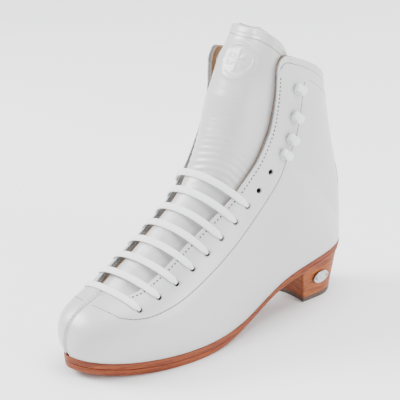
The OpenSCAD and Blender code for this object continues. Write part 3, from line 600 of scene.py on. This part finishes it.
for side, word in ((1, "left"), (-1, "right")):
    q = shell("upper_" + word, layer_grid(side, 0, round_r=EDGE_R), layer_grid(side, OUTER_T, inner=True),
              [WHITE, GREY, GREY], slot="white_leather", replaces=("quarter_" + word,))
    cut_holes(q, side, 1.95)
    m = shell("reinforcement_" + word, layer_grid(side, OUTER_T + 0.05, 150, 60, inset=0.25, inner=True),
              layer_grid(side, LINING_D - 0.05, 150, 60, inset=0.25, inner=True), [GREY],
              slot="grey_felt", replaces=("facing_reinforcement_" + word,))
    cut_holes(m, side, 1.9)
    n = shell("lining_skin_" + word, layer_grid(side, LINING_D, 160, 70, inner=True),
              layer_grid(side, INSIDE_D, 160, 70, round_r=0.4, inner=True), [TAN],
              slot="lining_leather", replaces=("lining_" + word,))
    cut_holes(n, side, 1.9)

# ---------------------------------------------------------------- tongue
EMBLEM = (0.917, 0.982)


def tongue_params(rows=230, cols=121, shrink=0.0):
    r, c = np.meshgrid(np.linspace(0, 1, rows), np.linspace(-1, 1, cols), indexing="ij")
    c = np.sign(c) * (1 - (1 - np.abs(c)) ** 1.0)
    body_t = mix(0.192, 0.965, np.clip(r / 0.86, 0, 1))
    edge = facing_edge(body_t)
    low = np.minimum(edge - 0.055, 0.90)
    # Above the lacing the tongue opens out from under the facings
    free = mix(facing_edge(0.965) - 0.055, np.where(c > 0, 0.74, 0.52), smooth((r - 0.86) / 0.05))
    wing = np.where(r < 0.86, low, free)
    s = 1 - (1 - wing) * (1 - shrink) * np.abs(c)
    q = np.clip((r - 0.86) / 0.14, 0, 1)
    top = np.interp(s, TONGUE_TOP[:, 0], TONGUE_TOP[:, 1])
    t = np.where(r < 0.86, body_t, mix(0.965, top - shrink * 0.03, q))
    return t, s, c


def tongue_grid(d, shrink=0.0, detail=False, edge_round=0.0, back=False):
    t, s, c = tongue_params(shrink=shrink)
    pts = np.zeros(t.shape + (3,))
    for side, mask in ((1, c <= 0), (-1, c > 0)):
        depth = tongue_depth(side, t, s) + d
        # Wings thin out towards their edges
        near = np.clip((1 - np.abs(c)) / 0.10, 0, 1)
        if edge_round:
            depth = depth + (-1 if back else 1) * edge_round * (1 - np.sqrt(1 - (1 - near) ** 2))
        p = skin(side, t, s, depth)
        pts[mask] = p[mask]
    if detail:
        n = np.cross(np.gradient(pts, axis=0), np.gradient(pts, axis=1))
        n /= np.linalg.norm(n, axis=-1, keepdims=True)
        n *= np.sign((n * out(1, np.array(0.6), np.array(0.99))).sum(-1).mean())
        pts = pts + n * tongue_relief(t, s, c, pts)[..., None]
    return pts


def tongue_relief(t, s, c, pts):
    """Raised oval with a plain snow crystal, stitched top band and soft folds where the ankle bends."""
    side = 1 if EMBLEM[1] < 1 else -1
    at = np.array(EMBLEM[0]), np.array(EMBLEM[1])
    o = skin(side, *at, tongue_depth(side, *at))
    dt, ds = tangents(side, *at)
    x, y = (pts - o) @ -ds, (pts - o) @ dt
    rho = np.hypot(x / 1.12, y)
    h = 0.75 * np.exp(-((rho - 13.0) / 0.7) ** 2) + 0.6 * np.exp(-((rho - 11.2) / 0.5) ** 2)
    h -= 0.25 * smooth((11.0 - rho) / 1.5) * (rho < 12)
    ang = np.arctan2(y, x)
    for k in range(6):
        a = math.radians(30 + 60 * k)
        along, off = x * math.cos(a) + y * math.sin(a), -x * math.sin(a) + y * math.cos(a)
        on = (along > 0.5) & (along < 8)
        h += np.where(on, 0.5 * np.exp(-(off / 0.6) ** 2), 0)
        for root in (3.5, 5.8):
            arm = np.abs(np.abs(off) - (along - root) * 0.9)
            h += np.where((along > root) & (along < root + 2.2), 0.35 * np.exp(-(arm / 0.5) ** 2), 0)
    rows = np.arange(t.shape[0])[:, None] / (t.shape[0] - 1)
    bend = np.exp(-((t - 0.53) / 0.06) ** 2)
    h += bend * 0.35 * np.sin(t * 330 + 3 * np.sin(c * 4) + c * 5) * (1 - np.abs(c)) ** 0.5
    h -= 0.3 * np.exp(-((rows - 0.952) / 0.004) ** 2)
    return h


FACE = (0.0, 1.6)
FOAM_D = (1.7, 5.6)
BACK = (5.7, 6.7)
face = shell("tongue_leather", tongue_grid(FACE[0], detail=True, edge_round=1.6), tongue_grid(FACE[1], edge_round=1.6),
             [WHITE_SOFT], slot="white_leather", body=None, replaces=("tongue_lower_face", "tongue_upper_face"))
foam = shell("tongue_foam", tongue_grid(FOAM_D[0], 0.03, edge_round=1.7),
             tongue_grid(FOAM_D[1], 0.03, edge_round=2.0, back=True),
             [FOAM], slot="foam", body=None, replaces=("tongue_lower_foam", "tongue_upper_foam"))
back = shell("tongue_back", tongue_grid(BACK[0], 0.01, edge_round=2.4, back=True),
             tongue_grid(BACK[1], 0.01, edge_round=3.0, back=True),
             [TAN], slot="lining_leather", body=None, replaces=("tongue_lower_lining", "tongue_upper_lining"))
for piece in (face, foam, back):
    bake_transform(piece)
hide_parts("tongue_emblem")

# ---------------------------------------------------------------- lace, eyelets and hooks
LACED, LACE_W, LACE_T = 8, 5.4, 1.5


def lay(side, t, s, d, w, up=False):
    dt, ds = tangents(side, np.array(t), np.array(s))
    return skin(side, np.array(t), np.array(s), np.array(d)), (ds if up else dt), w


def bar(k, side):
    t, s0 = EYELETS[k]
    row = []
    for j in range(37):
        q = mix(s0, 2 - s0, j / 36)
        s, sd = (2 - q, -side) if q > 1 else (q, side)
        from_end = min(j, 36 - j) / 36
        mid = smooth((s - s0) / (1 - s0))
        width = mix(2.6, LACE_W, smooth(from_end / 0.075))
        lift = mix(0.4, 1.0, smooth(from_end / 0.05)) - 0.25 * mid
        tuck = 0.004 * (1 - smooth(from_end / 0.08))
        row.append(lay(sd, t, s + tuck, -lift, width))
    return row


def dive(k, side):
    t, s = EYELETS[k]
    return [lay(side, t, s + 0.004, 1.2, 2.4), lay(side, t, s + 0.003, INSIDE_D + 0.2, 2.2)]


def climb(k, side):
    (ta, sa), (tb, sb) = EYELETS[k], EYELETS[k + 1]
    return [lay(side, mix(ta, tb, q), mix(sa, sb, q), INSIDE_D + 2.0, w, True)
            for q, w in ((0.25, 2.4), (0.5, 3.4), (0.75, 2.4))]


def lace_route():
    run = INSIDE_D + 2.4
    path = [lay(-1, mix(0.57, 0.205, k), mix(0.42, 0.69, k), run, w, True)
            for k, w in zip(np.linspace(0, 1, 30), [2.2] + [4.6] * 27 + [3.2, 2.2])]
    for k in range(LACED):
        side = -1 if k % 2 == 0 else 1
        path += dive(k, side)[::-1] + bar(k, side) + dive(k, -side)
        if k < LACED - 1:
            path += climb(k, -side)
    path += [lay(-1, mix(0.50, 0.80, k), mix(0.64, 0.50, k), run, w, True)
             for k, w in zip(np.linspace(0, 1, 24), [2.2, 3.2] + [4.6] * 21 + [2.2])]
    return path


route = lace_route()
points = np.array([p for p, _, _ in route])
across = np.array([a for _, a, _ in route])
widths = np.array([w for _, _, w in route])
lace_length = float(np.linalg.norm(np.diff(points, axis=0), axis=1).sum())
print("lace length, mm:", round(lace_length))
v, f = tube(points, across, widths, LACE_T, sides=16, power=2.6)
new_mesh("lace_ribbon", v, f, LACE, slot="lace_cotton", replaces=("lace",))

TIP_SIZES = [1.6, 2.3, 2.6, 2.4, 2.4, 2.4, 1.4]
tips = []
for end, inner in ((0, 1), (-1, -2)):
    d = points[end] - points[inner]
    d /= np.linalg.norm(d)
    run = np.array([points[end] + d * x for x in (0.3, 0.8, 2, 8, 14, 19, 20.1)])
    tips.append(tube(run, np.tile(across[end], (7, 1)), TIP_SIZES, TIP_SIZES, 14))
v, f = join(tips)
new_mesh("lace_end_tips", v, f, TIP, slot="clear_tip", replaces=("lace_tips",))

for side, word in ((1, "left"), (-1, "right")):
    parts = []
    for t, s in EYELETS:
        n = 22
        # Tube wall, with the rolled flange on the inside
        prof = np.array([[1.62, -0.95], [1.62, -INSIDE_D - 1.0], [3.0, -INSIDE_D - 1.05], [3.3, -INSIDE_D - 0.7],
                         [2.9, -INSIDE_D - 0.45], [1.85, -INSIDE_D - 0.4], [1.88, -0.95], [1.75, -0.8]])
        a = np.linspace(0, 2 * np.pi, n, endpoint=False)
        v = np.stack([prof[:, :1] * np.cos(a), prof[:, :1] * np.sin(a), np.repeat(prof[:, 1:], n, 1)], -1)
        v = v.reshape(-1, 3)
        f = [tuple(q) for q in quads(len(prof), n, loop_rows=True, loop_cols=True)]
        parts.append((seat(v, side, t, s), f))
    v, f = join(parts)
    new_mesh("eyelet_tubes_" + word, v, f, RIM, slot="eyelet_metal", replaces=("eyelets_" + word,))


def hook_mesh():
    foot = lathe([[0, 0.02], [4.0, 0.02], [4.35, 0.25], [4.3, 0.85], [3.9, 1.15], [3.3, 1.2], [3.1, 1.05], [2.7, 1.05],
                  [2.5, 1.35], [1.9, 1.6], [0, 1.65]], 32, (1.0, 0.98))
    run = [(-1.8, 1.25), (-3.4, 1.3), (-4.5, 1.75), (-5.0, 2.7), (-4.9, 3.6), (-4.3, 4.3), (-3.2, 4.65), (-1.6, 4.75),
           (0.2, 4.8), (1.4, 4.75)]
    pts = np.array([(x, 0, z) for x, z in run])
    width = [5.2, 5.2, 5.1, 5.0, 5.0, 5.0, 5.1, 5.4, 6.0, 4.6]
    neck = tube(pts, np.tile([0.0, 1.0, 0.0], (len(pts), 1)), width, 1.15, 14, 3.2)
    dome = lathe([[0, 4.15], [2.4, 4.15], [3.4, 4.4], [3.75, 4.9], [3.5, 5.35], [2.8, 5.7], [1.6, 5.95], [0, 6.02]], 32)
    dome = (dome[0] * [1.08, 1.0, 1.0] + [1.3, 0, 0], dome[1])
    return join([foot, neck, dome])


for side, word in ((1, "left"), (-1, "right")):
    for k, (t, s) in enumerate(HOOKS):
        v, f = hook_mesh()
        new_mesh("lace_hook_%s_%d" % (word, k + 1), seat(v, side, t, s), f, PAINT, slot="white_paint",
                 replaces=("hook_%s_%d" % (word, k + 1),))
parts = []
for side in (1, -1):
    for t, s in HOOKS:
        v, f = lathe([[0, -INSIDE_D - 1.2], [2.2, -INSIDE_D - 1.15], [2.8, -INSIDE_D - 0.8], [2.7, -INSIDE_D - 0.45],
                      [1.2, -INSIDE_D - 0.4], [1.1, 0.9], [0, 1.0]], 20)
        parts.append((seat(v, side, t, s), f))
v, f = join(parts)
new_mesh("rivet_set", v, f, RIM, slot="eyelet_metal", replaces=("hook_rivets",))


# ---------------------------------------------------------------- stitching
def resample(pts, pitch):
    """Even places along a polyline: points, directions and the index share."""
    seg = np.linalg.norm(np.diff(pts, axis=0), axis=1)
    dist = np.concatenate([[0], np.cumsum(seg)])
    n = max(2, int(dist[-1] / pitch))
    at = (np.arange(n) + 0.5) * dist[-1] / n
    p = np.stack([np.interp(at, dist, pts[:, i]) for i in range(3)], 1)
    q = np.stack([np.interp(at + 0.2, dist, pts[:, i]) for i in range(3)], 1)
    d = q - np.stack([np.interp(at - 0.2, dist, pts[:, i]) for i in range(3)], 1)
    return p, d / np.linalg.norm(d, axis=1, keepdims=True), at / dist[-1]


def seeds(places, dirs, ups, length, width, height, sides=6):
    """Small rounded grains, one at each place."""
    prof = [(-0.5, 0.35), (-0.38, 0.85), (0, 1.0), (0.38, 0.85), (0.5, 0.35)]
    a = np.linspace(0, 2 * np.pi, sides, endpoint=False)
    base = np.array([[x * length, r * width / 2 * math.cos(b), r * height / 2 * math.sin(b)]
                     for x, r in prof for b in a])
    f = [tuple(q) for q in quads(len(prof), sides, loop_cols=True)]
    f += [tuple(range(sides)), tuple(range((len(prof) - 1) * sides, len(prof) * sides))[::-1]]
    parts = []
    for p, d, u in zip(places, dirs, ups):
        y = np.cross(u, d)
        y /= np.linalg.norm(y)
        z = np.cross(d, y)
        parts.append((p + base[:, :1] * d + base[:, 1:2] * y + base[:, 2:] * z, f))
    return join(parts)


def seam(name, lines, pitch, thread_mat, stitch=(2.0, 0.65), dots=None, depth=0.1, surface=None, body="boot", tie=None):
    """Rows of stitches, and dark dots between them, which are painted shade in the needle holes. A line is (side, t
    values, s values).
    """
    runs, holes = [], []
    for side, t, s in lines:
        base = (surface or (lambda a, b, c: np.zeros(b.shape)))
        pts = skin(side, t, s, base(side, t, s) + depth)
        nrm = out(side, t, s)
        p, d, share = resample(pts, pitch)
        u = np.stack([np.interp(share, np.linspace(0, 1, len(nrm)), nrm[:, i]) for i in range(3)], 1)
        if stitch:
            runs.append(seeds(p, d, u, stitch[0], stitch[1], stitch[1] * 0.8))
        # The dark dots between the stitches are painted shade in the needle holes.
        if dots:
            step = np.roll(p, -1, axis=0)[:-1]
            holes.append(seeds((p[:-1] + step) / 2 + u[:-1] * 0.02, d[:-1], u[:-1], dots, dots * 0.9, 0.35))
    objs = []
    for label, rows, mat in (("stitches", runs, thread_mat), ("needle_hole_shade", holes, HOLE_SHADE)):
        if rows:
            v, f = join(rows)
            o = new_mesh("%s_%s" % (name, label), v, f, mat, body=None if tie else body, slot="grey_felt")
            if tie:
                tie(o)
            objs.append(o)
    return objs


def inset_s(side, t, s, mm):
    """s moved back from the edge by so many millimetres."""
    per_s = np.linalg.norm(place(spot(side, t, s)) - place(spot(side, t, s - 0.004)), axis=-1) / 0.004
    return s - mm / per_s


COLLAR_EDGE = 0.664
for side, word in ((1, "left"), (-1, "right")):
    t = np.concatenate([np.linspace(0.19, 0.23, 20), np.linspace(0.235, 0.945, 200)])
    facing = (side, t, inset_s(side, t, facing_edge(t), 3.4))
    seam("facing_%s" % word, [facing], 3.0, THREAD_WHITE, (1.7, 0.6), 1.45)
    t = np.concatenate([np.linspace(0.141, 0.152, 20), np.linspace(0.154, 0.25, 60), np.linspace(0.255, 0.962, 220)])
    seam("wing_%s" % word, [(side, t, np.minimum(wing_edge(t), 0.992))], 3.2, THREAD, (2.0, 0.75), 1.0)
    s = np.linspace(0.02, COLLAR_EDGE - 0.02, 120)
    t_line = top_at(side, s, COLLAR_EDGE)
    seam("collar_%s" % word, [(side, t_line - 0.0125, s)], 2.6, THREAD, (1.8, 0.5), 0.7)
    s = np.linspace(0.02, 0.37, 80)
    seam("collar_low_%s" % word, [(side, top_at(side, s, COLLAR_EDGE) - 0.029, s)], 2.6, THREAD, (1.8, 0.5), 0.7)
    t = np.linspace(0.006, 0.176, 90)
    seam("toe_%s" % word, [(side, t, inset_s(side, t, np.full(90, 0.9995), 1.5))], 2.6, THREAD, (1.7, 0.5),
         0.75 if side > 0 else None, depth=0.05)
    # Short bar across the throat
    s = np.linspace(0.965, 0.998, 12)
    bars = [(side, np.full(12, 0.1795), s), (side, np.full(12, 0.174), s)]
    seam("throat_%s" % word, bars, 1.6, THREAD, (1.3, 0.6), 0.5)


def ride_tongue(o):
    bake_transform(o)


s = np.concatenate([np.linspace(0.545, 0.999, 90)])
t_hem = np.interp(s, TONGUE_TOP[:, 0], TONGUE_TOP[:, 1]) - 0.026
seam("tongue_hem", [(1, t_hem, s), (-1, t_hem, s)], 2.6, THREAD, (1.8, 0.5), 0.65, depth=0.0,
     surface=lambda side, t, s: tongue_depth(side, t, s), tie=ride_tongue)

# ---------------------------------------------------------------- backstay
def strip_grid(d, half, t0=0.745, t1=0.965, rows=80, cols=21, round_r=0.0):
    t, c = np.meshgrid(np.linspace(t0, t1, rows), np.linspace(-1, 1, cols), indexing="ij")
    w = half(t) * c
    pts = np.zeros(t.shape + (3,))
    k = np.clip((np.abs(c) - 0.8) / 0.2, 0, 1)
    depth = d + round_r * k * k
    for side, mask in ((1, c >= 0), (-1, c < 0)):
        p = skin(side, t, np.abs(w), depth)
        pts[mask] = p[mask]
    return pts


def stay_half(t):
    return np.interp(t, [0.745, 0.81, 0.835, 0.86, 0.89, 0.93, 0.965],
                     [0.050, 0.078, 0.108, 0.112, 0.085, 0.040, 0.024])


# The strip is coloured dark grey as painted shade of the shadowed back of the boot.
shell("back_strip", strip_grid(-1.1, stay_half, round_r=0.9), strip_grid(-0.02, stay_half), [STAY_SHADE],
      slot="grey_felt", replaces=("backstay",))
t = np.linspace(0.75, 0.955, 80)
seam("back_strip", [(sd, t, stay_half(t) * 0.78) for sd in (1, -1)], 2.6, THREAD, (1.8, 0.5), 0.65, depth=-1.02)

# ---------------------------------------------------------------- sole
T_SEAT, WELT, SKEW = 0.70, 0.5, 0.17
# Height of the sole's underside at each row of the upper, from the toe
UNDER = [6.5, 6.0, 4.5, 2.2, 0.4, -0.4, -0.4, 1.2, 8.5, 18.5, 27.5, 33.0, 37.0, 38.5, 39.5] + [40] * 8


def under_line():
    """Height of the underside of the sole against the skewed length."""
    t = np.linspace(0, 0.72, 160)
    k, w = weights(t * LAST, LAST)
    low = np.array([r[1] for r in ROWS], float)
    under = np.array(UNDER)
    u = sum(w[:, i] * low[k + i, 0] for i in range(4))
    z = sum(w[:, i] * np.maximum(under[k + i], 0) for i in range(4))
    zt = sum(w[:, i] * low[k + i, 1] for i in range(4))
    order = np.argsort(u)
    return u[order], np.maximum(z[order], 0), zt[order]


LINE_U, LINE_Z, LINE_TOP = under_line()


def skewed(p):
    """Length along the foot used by the side profile of the sole."""
    return (MID_U - p[..., 1]) + SKEW * (p[..., 0] + MID_X)


def under_z(p):
    return np.interp(skewed(p), LINE_U, LINE_Z)


def top_z(p):
    return np.interp(skewed(p), LINE_U, LINE_TOP)


def sole_loop(grow):
    t = np.concatenate([np.linspace(0.001, 0.08, 26)[:-1], np.linspace(0.08, T_SEAT, 90)])
    flat = np.zeros(len(t))
    loop = np.concatenate([skin(1, t, flat, flat), skin(-1, t, flat, flat)[::-1]])
    d = np.roll(loop, -1, 0) - np.roll(loop, 1, 0)
    d[:, 2] = 0
    d /= np.linalg.norm(d, axis=1, keepdims=True)
    return loop + np.stack([-d[:, 1], d[:, 0], 0 * d[:, 0]], 1) * -grow


def sole_layer(name, k0, k1, mat, slot, nodes, taper=0.0):
    rings = []
    # Each is (share of the height, step outwards, step upwards)
    levels = [(k0, -0.9), (k0, -0.25, 0.3), (k0, 0, 0.8), (0.5 * (k0 + k1), 0.05, 0), (k1, 0, -0.5),
              (k1, -0.2, -0.12), (k1, -0.9, 0)]
    for item in levels:
        k, g = item[0], item[1]
        lift = item[2] if len(item) > 2 else 0.0
        p = sole_loop(WELT + g - taper * (1 - k) * 1.0)
        z = mix(under_z(p), top_z(p), k) + lift
        rings.append(np.stack([p[:, 0], p[:, 1], np.maximum(z, 0.02)], 1))
    rings = np.array(rings)
    n = rings.shape[1]
    verts = rings.reshape(-1, 3)
    faces = [tuple(q) for q in quads(len(rings), n, loop_cols=True)]
    half = n // 2
    for base in (0, (len(rings) - 1) * n):
        for i in range(half - 1):
            a, b = base + i, base + n - 1 - i
            faces.append((a, a + 1, b - 1, b))
    return new_mesh(name, verts, faces, mat, slot=slot, replaces=nodes)


sole_layer("sole_bottom", 0.0, 0.497, SOLE, "sole_leather", ("outsole",), 0.6)
sole_layer("sole_middle", 0.503, 0.995, SOLE, "sole_leather", ("midsole",))

# ---------------------------------------------------------------- heel
HEEL_H, LIFTS, TOP_PIECE = 40.0, 6, 4.5


def heel_ring(z, grow=0.0, n_side=14):
    """Closed outline of the heel at height z, in the frame."""
    k = z / HEEL_H
    cx, a = mix(1, 1.5, k), mix(21.2, 28.2, k) + grow
    cu, r, f = mix(30, 31.5, k), mix(22, 28, k) + grow, mix(51, 61, k) + grow
    pts = [(cx + a, q) for q in np.linspace(f - SKEW * a, cu, n_side)[:-1]]
    for q in np.linspace(0, 180, 61):
        c, s = math.cos(math.radians(q)), math.sin(math.radians(q))
        pts.append((cx + a * c, cu - r * s - SKEW * c * 8 * s))
    pts += [(cx - a, q) for q in np.linspace(cu, f + SKEW * a, n_side)[1:]]
    for q in np.linspace(0, 1, 24)[1:-1]:
        pts.append((cx - a + 2 * a * q, mix(f + SKEW * a, f - SKEW * a, q) - 4 * math.sin(q * math.pi)))
    p = np.array(pts)
    return np.stack([p[:, 0] - MID_X, MID_U - p[:, 1], np.full(len(p), z)], 1)


def stack_piece(name, z0, z1, mat, slot, nodes, clip=True, bevel=0.22, grow=0.0, foot=0.0):
    levels = [(z0, -bevel - foot), (z0 + bevel * 0.5 + foot * 0.5, -foot * 0.25), (z0 + bevel + foot, 0),
              (z1 - bevel, 0), (z1, -bevel * 0.7)]
    rings = []
    for z, g in levels:
        p = heel_ring(z, grow + g)
        if clip:
            p[:, 2] = np.minimum(p[:, 2], np.maximum(under_z(p) + 0.05, z0 - 0.0))
        rings.append(p)
    rings = np.array(rings)
    n = rings.shape[1]
    verts = list(rings.reshape(-1, 3))
    faces = [tuple(q) for q in quads(len(rings), n, loop_cols=True)]
    for base in (0, (len(rings) - 1) * n):
        ring = rings[base // n]
        c = ring.mean(0)
        c[2] = ring[:, 2].mean()
        verts.append(c)
        faces += [(base + j, base + (j + 1) % n, len(verts) - 1) for j in range(n)]
    o = new_mesh(name, np.array(verts), faces, mat, slot=slot, replaces=nodes)
    return o


step = (HEEL_H - TOP_PIECE) / LIFTS
for k in range(LIFTS):
    z0 = TOP_PIECE + k * step
    stack_piece("stack_lift_%d" % (k + 1), z0 + 0.02, z0 + step, STACK, "heel_stack", ("heel_lift_%d" % (k + 1),),
                bevel=0.12)
stack_piece("rubber_top_piece", 0.0, TOP_PIECE, RUBBER, "heel_rubber", ("heel_top_piece",), clip=False, bevel=0.35,
            grow=0.25, foot=0.5)

# Oval badge with a plain relief, held by two nails
box_lo, box_hi = [np.array(c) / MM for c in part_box("heel_badge")]
badge_c = (box_lo + box_hi) / 2
TILT = math.radians(10)
nx = np.array([math.cos(TILT), 0.035, -math.sin(TILT)])
nx /= np.linalg.norm(nx)
yx = np.array([0.035, -1.0, 0.0])
yx -= nx * (yx @ nx)
yx /= np.linalg.norm(yx)
zx = np.cross(nx, yx)


def on_badge(v):
    return badge_c + v[:, :1] * yx + v[:, 1:2] * zx + v[:, 2:] * nx


def badge_mesh(a=7.8, b=5.4):
    n, rows = 72, 30
    ang = np.linspace(0, 2 * np.pi, n, endpoint=False)
    r = np.linspace(0.02, 1, rows)
    rr, aa = np.meshgrid(r, ang, indexing="ij")
    x, y = a * rr * np.cos(aa), b * rr * np.sin(aa)
    z = 0.55 + 0.28 * np.exp(-((rr - 0.93) / 0.04) ** 2) - 0.55 * np.clip((rr - 0.965) / 0.035, 0, 1) ** 2
    for k in range(5):
        wave = y - (k - 2) * 1.5 - 0.8 * np.sin(x * 0.9 + k)
        z = z + 0.30 * np.exp(-(wave / 0.42) ** 2) * smooth((0.80 - rr) / 0.1) * (np.abs(x) < 5.0)
    top = np.stack([x, y, z], -1)
    bottom = np.stack([x, y, np.full(z.shape, -0.5)], -1)
    v = np.concatenate([top.reshape(-1, 3), bottom.reshape(-1, 3)])
    m = rows * n
    f = [tuple(q) for q in quads(rows, n, loop_cols=True)] + [tuple(q[::-1]) for q in quads(rows, n, m, loop_cols=True)]
    rim = (rows - 1) * n
    f += [(rim + j, m + rim + j, m + rim + (j + 1) % n, rim + (j + 1) % n) for j in range(n)]
    f += [tuple(range(n)), tuple(range(m, m + n))[::-1]]
    return v, f


v, f = badge_mesh()
new_mesh("badge_plate", on_badge(v), f, SILVER, slot="badge_metal", replaces=("heel_badge",))
parts = []
for x in (-5.6, 5.6):
    head = lathe([[0, 0.2], [0.95, 0.25], [1.05, 0.6], [0.8, 0.95], [0, 1.1]], 18)
    parts.append((on_badge(head[0] + [x, 0, 0]), head[1]))
v, f = join(parts)
new_mesh("badge_nail_heads", v, f, RIM, slot="badge_metal", replaces=("badge_nails",))

# ---------------------------------------------------------------- CAD pieces kept as they are
KEPT = {"shank": STEEL, "heel_nails": STEEL, "insole_board": BOARD, "sock_liner": TAN, "toe_puff": BOARD}
for name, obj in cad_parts.items():
    mat = KEPT.get(name) or (BOARD if "counter" in name else GREY if "interlining" in name else FOAM)
    obj.data.materials.clear()
    obj.data.materials.append(mat)

# ---------------------------------------------------------------- floor, light and camera
def floor():
    m = Nodes("studio_floor", (0.94, 0.94, 0.94), 0.9)
    m.color(m.ramp(m.noise(3, 3), [(0.3, (0.93, 0.93, 0.93)), (0.7, (0.95, 0.95, 0.95))]))
    mesh = bpy.data.meshes.new("floor")
    r = 6.0
    mesh.from_pydata([(-r, -r, 0), (r, -r, 0), (r, r, 0), (-r, r, 0)], [], [(0, 1, 2, 3)])
    mesh.materials.append(m.mat)
    o = bpy.data.objects.new("floor", mesh)
    bpy.context.scene.collection.objects.link(o)


def area(name, place_at, aim, size, power):
    light = bpy.data.lights.new(name, "AREA")
    light.size, light.energy = size, power
    o = bpy.data.objects.new(name, light)
    bpy.context.scene.collection.objects.link(o)
    o.location = place_at
    o.rotation_euler = (Vector(place_at) - Vector(aim)).to_track_quat("Z", "Y").to_euler()


floor()
HEART = (0, 0, 0.1)
area("key_left", (-1.0, -0.9, 1.0), HEART, 0.7, 52)
area("top", (0.2, 0.1, 1.7), HEART, 1.2, 34)
area("side_right", (1.5, 0.45, 0.7), HEART, 0.8, 28)
area("back", (-0.2, 1.5, 0.8), HEART, 1.0, 16)
world = bpy.data.worlds.new("studio")
bpy.context.scene.world = world
world.use_nodes = True
world.node_tree.nodes["Background"].inputs[0].default_value = (0.95, 0.97, 1.0, 1)
world.node_tree.nodes["Background"].inputs[1].default_value = 0.9

TARGET = Vector((-0.0006, -0.00863, 0.10515))
AZIMUTH, ELEVATION, DISTANCE = math.radians(50), math.radians(23), 1.0
to_camera = Vector((math.sin(AZIMUTH) * math.cos(ELEVATION), -math.cos(AZIMUTH) * math.cos(ELEVATION),
                    math.sin(ELEVATION)))
camera = bpy.data.objects.new("camera", bpy.data.cameras.new("camera"))
bpy.context.scene.collection.objects.link(camera)
camera.location = TARGET + to_camera * DISTANCE
camera.rotation_euler = to_camera.to_track_quat("Z", "Y").to_euler()
camera.data.sensor_width = 36
camera.data.lens = 122.15
bpy.context.scene.camera = camera
